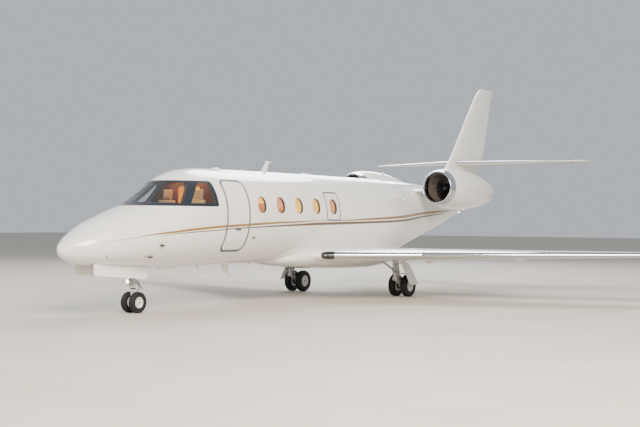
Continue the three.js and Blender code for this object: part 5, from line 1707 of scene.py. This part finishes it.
def boss_ring(name, x, spec, half, outer, bore):
    outline = [
        (-half, bore), (-half, outer - 3), (3 - half, outer), (half - 3, outer), (half, outer - 3),
        (half, bore), (-half, bore),
    ]
    return turned(name, outline, place(x, spec["station"], spec["radius"]), SIDEWAYS, 48)


def pin(name, middle, half, radius, finish, **shape):
    """A bar across the aircraft, coated; its middle is x, station and height."""
    x, station, z = middle
    ends = place(x - half, station, z), place(x + half, station, z)
    return coated(bar(name, *ends, radius, **shape), finish)


def upright(name, outline, at, finish, sides=64):
    """A turning that stands on end, coated."""
    return coated(turned(name, outline, place(*at), UP, sides), finish)


def clip(at, outer, finish=STEEL, bore=52, length=14):
    outline = [(0, bore), (0, outer), (length, outer), (length, bore), (0, bore)]
    return upright("clip", outline, at, finish, 48)


# %% Nose leg
NOSE_LEG = 1860
LEG_HOUSING = [
    (0, 37), (0, 50), (6, 56), (26, 56), (34, 50), (160, 48), (300, 50), (380, 56), (400, 62), (470, 62),
    (490, 54), (559, 52), (559, 0), (10, 0), (0, 37),
]
nose_parts = [
    upright("housing", LEG_HOUSING, (0, NOSE_LEG, 640), GEAR_WHITE),
    pin("trunnion", (0, NOSE_LEG, 1080), 231, 26, GEAR_WHITE),
    coated(beam("drag_strut", (0, NOSE_LEG - 34, 735), (0, 1150, 1130), (48, 40), (42, 36)), GEAR_WHITE),
    pin("strut_pin", (0, 1150, 1130), 231, 20, STEEL),
    coated(plate("steering_box", (-70, NOSE_LEG - 70, 700), (70, NOSE_LEG + 60, 780), 14, 3), GEAR_WHITE),
    pin("actuator", (0, NOSE_LEG + 42, 742), 112, 24, STEEL),
    coated(pipe("line", [(46, 1845, 1190), (56, 1840, 1000), (56, 1840, 880), (50, 1850, 800)], 5), STEEL),
    coated(pipe("line", [(-46, 1845, 1190), (-57, 1838, 980), (-54, 1836, 860), (-40, 1800, 760)], 4), SEAL),
    *[clip((0, NOSE_LEG, z), 59) for z in (860, 940, 1010)],
]
settled(joined("nose_leg_forging", *nose_parts), None, slot="gear_steel", stands_for=["nose_leg"])

# %% Nose fork with its torque links and taxi lamp
LENS_LOOK = {"Roughness": 0.1, "Coat_Weight": 1.0, "Emission_Strength": 14.0}
LAMP_WARM, tree, shader, spot = new_finish("lamp_lens_lit", "FFF1D2", **LENS_LOOK)
shader.inputs["Emission Color"].default_value = hex_colour("FFD9A0")
facets = add_node(tree, "ShaderNodeTexVoronoi", {"Vector": spot, "Scale": 120.0})
relief = add_node(tree, "ShaderNodeBump", {"Height": facets, "Strength": 0.5, "Distance": 0.002})
tree.links.new(relief.outputs[0], shader.inputs["Normal"])


def lamp(name, at, facing, radius, depth):
    """A round lamp: a dark bowl behind a lens that bulges."""
    bowl = turned(name, [
        (-depth, 0), (-depth, 0.45 * radius), (-0.5 * depth, 0.92 * radius), (0, radius), (4, radius),
        (4, radius - 3), (-2, radius - 4), (-2, 0),
    ], place(*at), facing, 40)
    bulge = [(-1.5, 0), (-1.5, radius - 4.5), (3, radius - 5), (7, 0.6 * radius), (9, 0)]
    return [coated(bowl, PANEL_PLASTIC), coated(turned("lens", bulge, place(*at), facing, 40), LAMP_WARM)]


STEERING_SLEEVE = [
    (0, 36), (0, 50), (6, 56), (22, 56), (30, 50), (48, 50), (56, 68), (84, 68), (92, 52), (130, 52),
    (136, 60), (156, 60), (162, 56), (162, 36), (0, 36),
]
FORK_CROWN = [(0, 30), (0, 44), (20, 46), (76, 46), (88, 51), (106, 51), (110, 46), (110, 30), (0, 30)]
GLAND = [(0, 35), (0, 46), (4, 52), (18, 52), (22, 46), (22, 35), (0, 35)]
HARNESS = [
    (22, 1918, 632), (30, 1962, 600), (34, 1984, 540), (30, 1982, 470), (24, 1950, 425), (20, 1900, 405),
]
LINK_KNEE = (0, NOSE_LEG + 250, 456)
fork_parts = [
    upright("sleeve", STEERING_SLEEVE, (0, NOSE_LEG, 474), GEAR_WHITE),
    upright("crown", FORK_CROWN, (0, NOSE_LEG, 308), GEAR_WHITE),
    upright("gland", GLAND, (0, NOSE_LEG, 452), SEAL),
    coated(beam("tow_lug", (0, NOSE_LEG - 52, 543), (0, NOSE_LEG - 128, 540), (72, 26), (36, 20)),
           GEAR_WHITE),
    pin("tow_pin", (0, NOSE_LEG - 114, 541), 34, 9, SEAL),
    pin("steer_boss", (0, NOSE_LEG, 500), 80, 17, GEAR_WHITE),
    coated(pipe("harness", HARNESS, 7), SEAL),
    coated(bar("piston", place(0, NOSE_LEG, 250), place(0, NOSE_LEG, 640), 34, sides=48), CHROME),
    clip((0, NOSE_LEG, 646), 66, GEAR_WHITE, 58, 40),
    coated(beam("axle_block", (0, NOSE_LEG, 312), (0, NOSE_LEG, 212), (70, 76), (76, 84)), GEAR_WHITE),
    coated(beam("trail_block", (0, NOSE_LEG - 20, 250), (0, NOSE_LEG + 50, 220), (68, 80), (68, 66)),
           GEAR_WHITE),
    coated(boss_ring("axle_boss", 0, NOSE_WHEEL, 40, 40, 21), GEAR_WHITE),
    coated(beam("upper_link", (0, NOSE_LEG + 56, 618), LINK_KNEE, (84, 28), (44, 22)), GEAR_WHITE),
    coated(beam("lower_link", LINK_KNEE, (0, NOSE_LEG + 42, 382), (44, 24), (74, 30)), GEAR_WHITE),
    pin("link_pin", LINK_KNEE, 30, 12, STEEL),
    coated(bar("lamp_arm", place(0, NOSE_LEG - 60, 664), place(0, NOSE_LEG - 138, 618), 10), STEEL),
    *lamp("taxi_lamp", (0, NOSE_LEG - 150, 610), (0, -1, -0.08), 44, 40),
]
said = {"body": "nose_steering", "slot": "gear_steel", "stands_for": ["nose_fork"]}
settled(joined("nose_fork_forging", *fork_parts), None, **said)
print("nose gear set")

# %% Main legs
LEG_OUTLINE = [
    (0, 0), (0, 44), (6, 52), (60, 54), (110, 52), (122, 60), (150, 60), (162, 52), (300, 52), (420, 56),
    (500, 62), (520, 72), (570, 72), (590, 62), (629, 62), (629, 0),
]
KNEE = 430


def door_inside(z):
    return LEG_X + 66 + (880 - z) * 0.52


def main_leg_parts():
    """The port leg; its two brake pipes run down its outer and its inner side."""
    x, leg = LEG_X, LEG_STATION
    axle, axle_z = MAIN_WHEEL["station"], MAIN_WHEEL["radius"]
    shock_top, shock_end = Vector((x, leg + 50, 900)), Vector((x, axle - 110, 350))
    collar_top, split, collar_end = (place(*shock_top.lerp(shock_end, t)) for t in (0.54, 0.58, 0.585))
    parts = [
        upright("cylinder", LEG_OUTLINE, (x, leg, 400), GEAR_WHITE),
        pin("knee_pin", (x, leg, KNEE), 66, 42, GEAR_WHITE),
        pin("knee_nut", (x, leg, KNEE), 74, 24, STEEL, sides=6),
        coated(beam("trailing_arm", (x, leg - 10, KNEE + 5), (x, axle, 270), (96, 92), (104, 84), waist=0.9),
               GEAR_WHITE),
        coated(boss_ring("axle_boss", x, MAIN_WHEEL, 74, 50, 31), GEAR_WHITE),
        coated(bar("shock_cylinder", place(*shock_top), split, 34, sides=40, bevel=5), GEAR_WHITE),
        coated(bar("shock_collar", collar_top, collar_end, 39, sides=40), STEEL),
        coated(bar("shock_piston", split, place(*shock_end), 23, sides=40), CHROME),
        pin("shock_pin", (x, 9188, 352), 46, 18, STEEL),
        coated(beam("side_brace", (x - 20, leg, 620), (1030, leg, 925), (50, 54), (46, 46), across=(0, 1, 0)),
               GEAR_WHITE),
        coated(bar("brace_pin", place(x - 60, leg - 40, 640), place(x - 60, leg + 40, 640), 16), STEEL),
    ]
    for sign in (1, -1):
        run = [(40, leg - 48, 1000), (44, leg - 50, 800), (44, leg - 50, 560), (62, leg - 10, 470),
               (60, leg + 130, 400), (66, 9250, 320)]
        parts.append(coated(pipe("line", [(x + sign * off, station, z) for off, station, z in run], 6), SEAL))
    parts += [clip((x, leg, z), 61) for z in (590, 760, 880)]
    for sign in (-1, 1):
        stack = [(76, 31), (76, 84), (80, 90), (96, 90), (100, 84), (100, 31), (76, 31)]
        stack = [(sign * a, r) for a, r in stack]
        parts.append(coated(turned("brake_pack", stack, place(x, axle, axle_z), SIDEWAYS, 64), PANEL_PLASTIC))
        cap = bar("piston_cap", place(x + sign * 62, axle, 335), place(x + sign * 80, axle, 335), 13)
        parts.append(round_axis(cap, STEEL, 6, place(x, axle, axle_z), SIDEWAYS))
    for z in (800, 560):
        end = place(door_inside(z) - 0.5, leg + 100, z)
        parts.append(coated(bar("door_link", place(x + 30, leg + 38, z), end, 12), STEEL))
    return parts


leg_piece = joined("main_leg", *main_leg_parts())
both_sides(leg_piece, "main_leg_forging", None, ["main_leg"], angle=38, slot="gear_steel")
print("main legs set")

# %% Gear doors
def panel(name, outline, spot, thick, edge=3):
    """A thin panel with soft edges; spot turns an outline point and a depth into a place."""
    middle = [sum(p[c] for p in outline) / len(outline) for c in (0, 1)]
    reach = max(abs(p[0] - middle[0]) for p in outline)
    rings = []
    soft = ((0, edge), (edge * 0.3, edge * 0.3), (edge, 0))
    for depth, inset in (*soft, *[(thick - depth, inset) for depth, inset in reversed(soft)]):
        grow = 1 - inset / reach
        rings.append([spot([m + (v - m) * grow for v, m in zip(p, middle)], depth) for p in outline])
    return healed(loft(name, rings), 50)


DOOR_THICK = 18
leg_outline = soft_corners([(60, 880), (235, 868), (420, 780), (420, 300), (60, 300)], 45)


def leg_door_spot(p, depth):
    return place(door_inside(p[1]) + depth, LEG_STATION + p[0], p[1])


leg_door = panel("leg_door", leg_outline, leg_door_spot, DOOR_THICK)
belly_front, belly_rear = (float(table_value(BODY, 2, s, np.sqrt)) + 40 for s in (612, 1985))
nose_outline = soft_corners([(612, belly_front), (1985, belly_rear), (1985, 652), (612, 757)], 50)
nose_door = panel("nose_door", nose_outline, lambda p, depth: place(247 + depth, p[0], p[1]), DOOR_THICK)
carved(nose_door, body_form("belly_cutter", 300, 3400, -0.3))
lip_x = door_inside(302)
lip = plate("door_lip", (lip_x + 4, LEG_STATION + 90, 302), (lip_x + 84, LEG_STATION + 410, 309), 2)
leg_door = joined("leg_door", leg_door, lip)
for piece, node in ((leg_door, "main_gear_door"), (nose_door, "nose_gear_door")):
    both_sides(piece, f"{node}_panel", WHITE_PAINT, [node], angle=35, recalc=True)
print("gear doors set")

# %% [markdown]
# ## Door steps, track fairings and jack pads
# The entry door folds down and its steps are inside. Each flap track has a pod in two halves:
# the front half stays on the wing and the rear half goes down with the flap.

# %% Steps, fairings and pads
treads = []
for i in range(4):
    z = 1400 + i * 285
    near = wall_x(3862, z, SKIN)
    treads.append(plate("step", (near - 190, 3605, z), (near + 20, 4120, z + 45), 9, 3))
    for station in range(3640, 4100, 30):
        treads.append(plate("grip", (near - 184, station, z + 45), (near - 20, station + 12, z + 47.5), 1, 1))
grouped("door_steps", treads, PANEL_PLASTIC, body="entry_door", slot="panel_plastic")
lugs = [plate("lug", (690, s, 1182), (722, s + 60, 1206), 5) for s in (3700, 3960)]
grouped("door_hinge_lugs", lugs, STEEL, body="entry_door", slot="gear_steel")

TRACKS = (  # body, surface, x, front, rear, half width, lowest point
    ("flap_inner", FLAP_INNER, 2350, 8900, 9560, 55, 805),
    ("flap_outer", FLAP_OUTER, 4480, 9280, 9930, 50, 900),
)
for label, spec, x, front, rear, half, low in TRACKS:
    top = foil_row(WING, x)[2] - 10
    hinge = hinge_at(spec, x)
    for part, start, end in (("front", front, hinge - 3), ("rear", hinge + 4, rear)):
        sections = []
        for station in np.linspace(start, end, 24):
            t = (station - front) / (rear - front)
            swell = max(0.02, 1 - abs((t - 0.45) / (0.45 if t < 0.45 else 0.55)) ** 1.9) ** 0.62
            section = []
            for k in range(32):
                angle = math.pi * k / 31
                across = half * swell * math.copysign(abs(math.cos(angle)) ** 0.8, math.cos(angle))
                drop = (top - low) * swell * abs(math.sin(angle)) ** 0.8
                section.append(place(x + across, station + hinge_slope(spec) * across, top - drop))
            sections.append(section)
        pod = healed(loft("pod", sections), 40)
        owner = label if part == "rear" else None
        said = {"body": owner, "angle": 40, "recalc": True, "slot": "white_composite"}
        both_sides(pod, f"track_pod_{label}_{part}", WHITE_PAINT, **said)
PAD = [(0, 0), (0, 20), (3, 24), (10, 26), (34, 38), (50, 38), (50, 0)]
PAD_SPOTS = ((2050, 8500, 908), (-2050, 8500, 908), (0, 2300, 846))
pads = [turned("pad", PAD, place(*spot), UP, 40) for spot in PAD_SPOTS]
grouped("jack_pads", pads, STEEL, 35, slot="gear_steel")
print("steps, fairings and pads set")

# %% [markdown]
# ## Antennas, probes, lamps and wicks
# Blade antennas are small swept foils. Pitot probes stand off the skin and point forward.
# Static wicks trail from the wings and the tail and lead the charge away.

# %% Small outside fittings
def fin_blade(name, root, tip, base, top, thick):
    """A blade antenna: root and tip are pairs of stations, front and rear."""
    sections = []
    for share in np.linspace(0, 1, 7):
        lean = share ** 1.3
        ends = [a + (b - a) * lean for a, b in zip(root, tip)]
        middle, reach = sum(ends) / 2, (ends[1] - ends[0]) / 2
        section = []
        for k in range(28):
            angle = 2 * math.pi * k / 28
            c = math.cos(angle)
            wide = thick / 2 * (1 - 0.45 * share) * math.sin(angle) * (0.75 - 0.25 * c)
            section.append(place(wide, middle + reach * c, base + (top - base) * share))
        sections.append(section)
    return healed(loft(name, sections), 45)


def dome(name, at, axis, radius, height):
    arc = [(height * math.sin(a), radius * math.cos(a)) for a in np.radians(range(0, 90, 9))]
    return turned(name, [(-4, 0), (-4, radius), *arc, (height, 0)], place(*at), axis, 40)


blades = [
    fin_blade("top_blade", (5785, 5985), (5960, 6080), 2850, 3080, 26),
    bar("top_cap", place(0, 5930, 3084), place(0, 6180, 3092), 13, 8),
    fin_blade("top_plate", (7230, 7730), (7330, 7690), 2855, 2894, 170),
    fin_blade("rear_blade", (10790, 10995), (10885, 10965), 2850, 3070, 24),
    fin_blade("belly_plate", (2480, 3090), (2540, 3050), 880, 806, 150),
    fin_blade("belly_blade", (3590, 3730), (3660, 3725), 885, 782, 22),
    fin_blade("belly_swept", (4412, 4662), (4560, 4725), 885, 624, 34),
    bar("belly_foot", place(0, 4570, 624), place(0, 4900, 612), 22, 12),
    dome("top_dome", (0, 4230, 2855), UP, 95, 30),
    dome("top_dot", (0, 5090, 2858), UP, 30, 24),
    fin_blade("belly_fence", (5290, 5450), (5330, 5440), 885, 822, 40),
]
grouped("antennas", blades, WHITE_PAINT, 45, slot="white_composite")

probes = []
for sign in (-1, 1):
    for station, z, length in ((1850, 1305, 150), (1700, 1088, 210)):
        x = wall_x(station, z) * sign
        out = x + sign * 62
        low, high = sorted((x, x + sign * 3))
        corners = (low - 2, station - 45, z - 26), (high + 2, station + 45, z + 26)
        probes.append(plate("probe_base", *corners, 4))
        root, tip = (x - sign * 4, station, z), (out, station - 20, z)
        probes.append(beam("probe_mast", root, tip, (52, 13), (30, 11), across=(0, 1, 0)))
        probes.append(bar("probe_tube", place(out, station + 12, z), place(out, station - length, z), 11, 7))
    for station, z, r in ((740, 1110, 22), (4430, 1440, 36), (6490, 1560, 22)):
        x = wall_x(station, z) * sign
        outline = [(-3, 0), (-3, r), (1.5, r), (2.5, r - 4), (0.5, 8), (0.5, 0)]
        probes.append(turned("port", outline, place(x, station, z), (sign, 0, 0), 32))
grouped("probes_and_ports", probes, HOT_METAL, slot="gear_steel")

handle_x = wall_x(3870, 1610)
handle = [
    plate("handle_plate", (handle_x - 4, 3780, 1578), (handle_x + 1.6, 3960, 1642), 2),
    plate("handle_bar", (handle_x - 2, 3800, 1596), (handle_x + 5, 3940, 1622), 4, 3),
]
grouped("door_handle", handle, STEEL, body="entry_door", slot="gear_steel")

BEACON = speckled(
    "beacon_lens_red", "93171A", "7C1113", 140.0, 0.3, 0.001, glow="C01818", Roughness=0.12, Coat_Weight=1.0,
    Emission_Strength=0.1,
)
settled(healed(dome("beacon", (0, 6700, 2862), UP, 34, 30), 40), BEACON, slot="window_glass")
tail_lamps = []
for station in (15119, 15420):
    below = float(table_value(BODY, 2, station, np.sqrt)) + 4
    tail_lamps.append(coated(dome("tail_lamp", (0, station, below), (0, 0.2, -1), 34, 58), LAMP_WARM))
settled(joined("tail_lamps", *tail_lamps), None, slot="window_glass")

WICKS = {"aileron": (WING, (6200, 7000, 7800), 6), "elevator": (TAILPLANE, (1500, 2250, 2950), 4)}
wicks = {"rudder": [place(0, foil_row(FIN, z)[1] - 4, z) for z in (4300, 4900, 5450)]}
for surface, (rows, spots, inset) in WICKS.items():
    for side, sign in SIGNS:
        ends = [(x, foil_row(rows, x)) for x in spots]
        wicks[f"{surface}_{side}"] = [place(sign * x, row[1] - inset, row[2]) for x, row in ends]
for body, spots in wicks.items():
    rods = [bar("wick", spot, spot + Vector((0, 0.085, -0.004)), 3.5, 1.6, 12, 0.5) for spot in spots]
    grouped(f"static_wicks_{body}", rods, SEAL, body=body, slot="panel_plastic")
print("fittings set")

# %% Landing lights in the wing roots
LENS_DARK = speckled("landing_light_lens", "171A1F", "0E1013", 30.0, roughness=(0.03, 0.08), Coat_Weight=1.0)
LIGHT_SPAN = (1068, 1300)
LIGHT_MIDDLE = sum(LIGHT_SPAN) / 2
LIGHT_DEPTH = 0.03  # share of the chord, above and below
sections = []
for x in np.linspace(*LIGHT_SPAN, 19):
    leading, trailing, height, thick = foil_row(WING, x)[:4]
    limit = LIGHT_DEPTH * math.sqrt(max(0.004, 1 - ((x - LIGHT_MIDDLE) / 117) ** 2))
    front, rear = [], []
    for share in np.linspace(-1, 1, 25):
        c = share * share * limit
        above = share > 0
        rise = foil_half(AEROFOIL, 1 if above else 2, c) * thick * (1 if above else -1)
        front.append(place(x, leading + c * (trailing - leading) - 2.5, height + rise * 1.015))
        rear.append(place(x, leading + c * (trailing - leading) + 4, height + rise * 0.97))
    sections.append(front + rear[::-1])
lens = coated(healed(loft("lens", sections), 40), LENS_DARK)
bulbs = []
for x in (1136, 1232):
    leading, trailing, height, thick = foil_row(WING, x)[:4]
    bulbs.append(coated(dome("bulb", (x, leading + 1, height), (0, -1, 0), 15, 7), CHROME))
both_sides(joined("light", lens, *bulbs), "landing_light", None, angle=40, recalc=True, slot="window_glass")

# %% [markdown]
# ## Fasteners along the seams
# Panels are held by rows of flush screws. A second tree sets a small head on every point it is given,
# turned to the direction that is stored with the point.

# %% A tree that sets heads on points
HEADS, given, out = new_tree("heads_on_points", [
    ("Radius", "NodeSocketFloat"), ("Depth", "NodeSocketFloat"), ("Material", "NodeSocketMaterial"),
])
head_size = {"Vertices": 14, "Radius": given["Radius"], "Depth": given["Depth"]}
head = add_node(HEADS, "GeometryNodeMeshCylinder", head_size)
outward = add_node(HEADS, "GeometryNodeInputNamedAttribute", {"Name": "outward"}, data_type="FLOAT_VECTOR")
turn = add_node(HEADS, "FunctionNodeAlignRotationToVector", {"Vector": outward}, axis="Z")
where = {"Points": given["Geometry"], "Instance": head, "Rotation": turn}
copies = add_node(HEADS, "GeometryNodeInstanceOnPoints", where)
real = add_node(HEADS, "GeometryNodeRealizeInstances", {"Geometry": copies})
done = add_node(HEADS, "GeometryNodeSetMaterial", {"Geometry": real, "Material": given["Material"]})
HEADS.links.new(done.outputs[0], out.inputs[0])


HEAD_RADIUS, HEAD_HEIGHT = 4.2, 1.0
HEAD_REACH = 0.006  # metres off the skin


def heads_on(name, spots):
    """Screw heads on those of the places that lie on the body's skin."""
    found = [(spot, form_normal(BODY_SHAPE, spot)) for spot in spots]
    found = [(spot, normal) for spot, (normal, distance) in found if distance < HEAD_REACH]
    obj = made(name, [spot for spot, _ in found], [])
    stored = obj.data.attributes.new("outward", "FLOAT_VECTOR", "POINT")
    stored.data.foreach_set("vector", [c for _, normal in found for c in normal])
    grown_by(obj, HEADS, FUSELAGE_PAINT, Radius=HEAD_RADIUS * MM, Depth=HEAD_HEIGHT * MM)
    return settled(healed(obj, 40, recalc=False), FUSELAGE_PAINT)


def ring_spots(station, pitch=62):
    """Evenly spaced places round the body at a station."""
    ring = body_rings([station], 0, 720)[0]
    steps = np.linalg.norm(np.diff(ring, axis=0), axis=1)
    run = np.concatenate([[0], np.cumsum(steps)])
    marks = np.arange(pitch / 2, run[-1] / MM, pitch) * MM
    return [Vector([float(np.interp(m, run, ring[:, c])) for c in range(3)]) for m in marks]


def side_spots(outline, mirror, pitch=48):
    """Evenly spaced places on the body's side along an outline of stations and heights."""
    closed = [*outline, outline[0]]
    run = np.concatenate([[0], np.cumsum([math.dist(a, b) for a, b in zip(closed, closed[1:])])])
    sign = -1 if mirror else 1
    spots = []
    for m in np.arange(0, run[-1] - pitch / 2, pitch):
        s, z = (float(np.interp(m, run, [p[c] for p in closed])) for c in (0, 1))
        spots.append(place(sign * wall_x(s, z), s, z))
    return spots


for station, name in ((RADOME_END + 16, "radome"), (COCKPIT_END + 16, "cockpit"), (CABIN_END + 16, "tail")):
    heads_on(f"screws_{name}_joint", ring_spots(station))
PANELS = {  # front, rear, bottom, top
    "nose_bay": (840, 1500, 1180, 1420), "tail_bay": (11250, 11800, 1620, 1900),
    "battery": (12400, 12900, 1800, 2050),
}
HATCH_SCREWS = 44  # mm outside the hatch
middle = [(HATCH[a] + HATCH[b]) / 2 for a, b in (("front", "rear"), ("bottom", "top"))]
grown = [[v + math.copysign(HATCH_SCREWS, v - m) for v, m in zip(p, middle)] for p in hatch_outline]
for side, mirror in SIDES:
    heads_on(f"screws_hatch_{side}", side_spots(grown, mirror))
    for label, edges in PANELS.items():
        heads_on(f"screws_{label}_{side}", side_spots(rounded(*edges, 40), mirror))
print("screws set")

# %% [markdown]
# ## The stage
# A pale matt floor and large soft lights show the paint's own colour and its gloss.

# %% Floor and lights
FLOOR_HALF = 120.0
corners = [(u * FLOOR_HALF, v * FLOOR_HALF, 0) for u, v in ((-1, -1), (1, -1), (1, 1), (-1, 1))]
floor = made("studio_floor", corners, [(0, 1, 2, 3)])
floor.data.materials.append(speckled("pale_floor", "C8C0B4", "BFB7AB", 0.6, Roughness=0.8))
floor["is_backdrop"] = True
world = bpy.data.worlds.new("soft_studio")
world.use_nodes = True
world.node_tree.nodes["Background"].inputs["Color"].default_value = hex_colour("DDE3EA")
world.node_tree.nodes["Background"].inputs["Strength"].default_value = 0.76
bpy.context.scene.world = world
SOFTBOXES = [  # name, place, aimed at, size, power, colour
    ("key_softbox", (16, -16, 13), (0, -2, 1.5), 10, 9600, "FFF4E6"),
    ("fill_softbox", (-15, -14, 10), (0, -2, 1.5), 12, 2400, "EAF1FF"),
    ("top_softbox", (-6, 11, 17), (0, 1, 1), 12, 4200, "FFFFFF"),
    ("rear_softbox", (-12, 20, 11), (0, 4, 2), 10, 2000, "F4F7FF"),
]
for name, spot, aim, size, power, colour in SOFTBOXES:
    light = bpy.data.lights.new(name, "AREA")
    light.shape = "DISK"
    light.size = size
    light.energy = power
    light.color = hex_colour(colour)[:3]
    softbox = linked(name, light)
    softbox.location = spot
    softbox.rotation_euler = (Vector(aim) - Vector(spot)).to_track_quat("-Z", "Y").to_euler()

# %% Sizes and finish
low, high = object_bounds()
{"cad": [list(map(float, v)) for v in CAD_BOX], "visual": [list(map(float, low)), list(map(float, high))]}
print("cad box", [tuple(round(c, 3) for c in v) for v in CAD_BOX])
print("visual box", [tuple(round(c, 3) for c in v) for v in (low, high)])
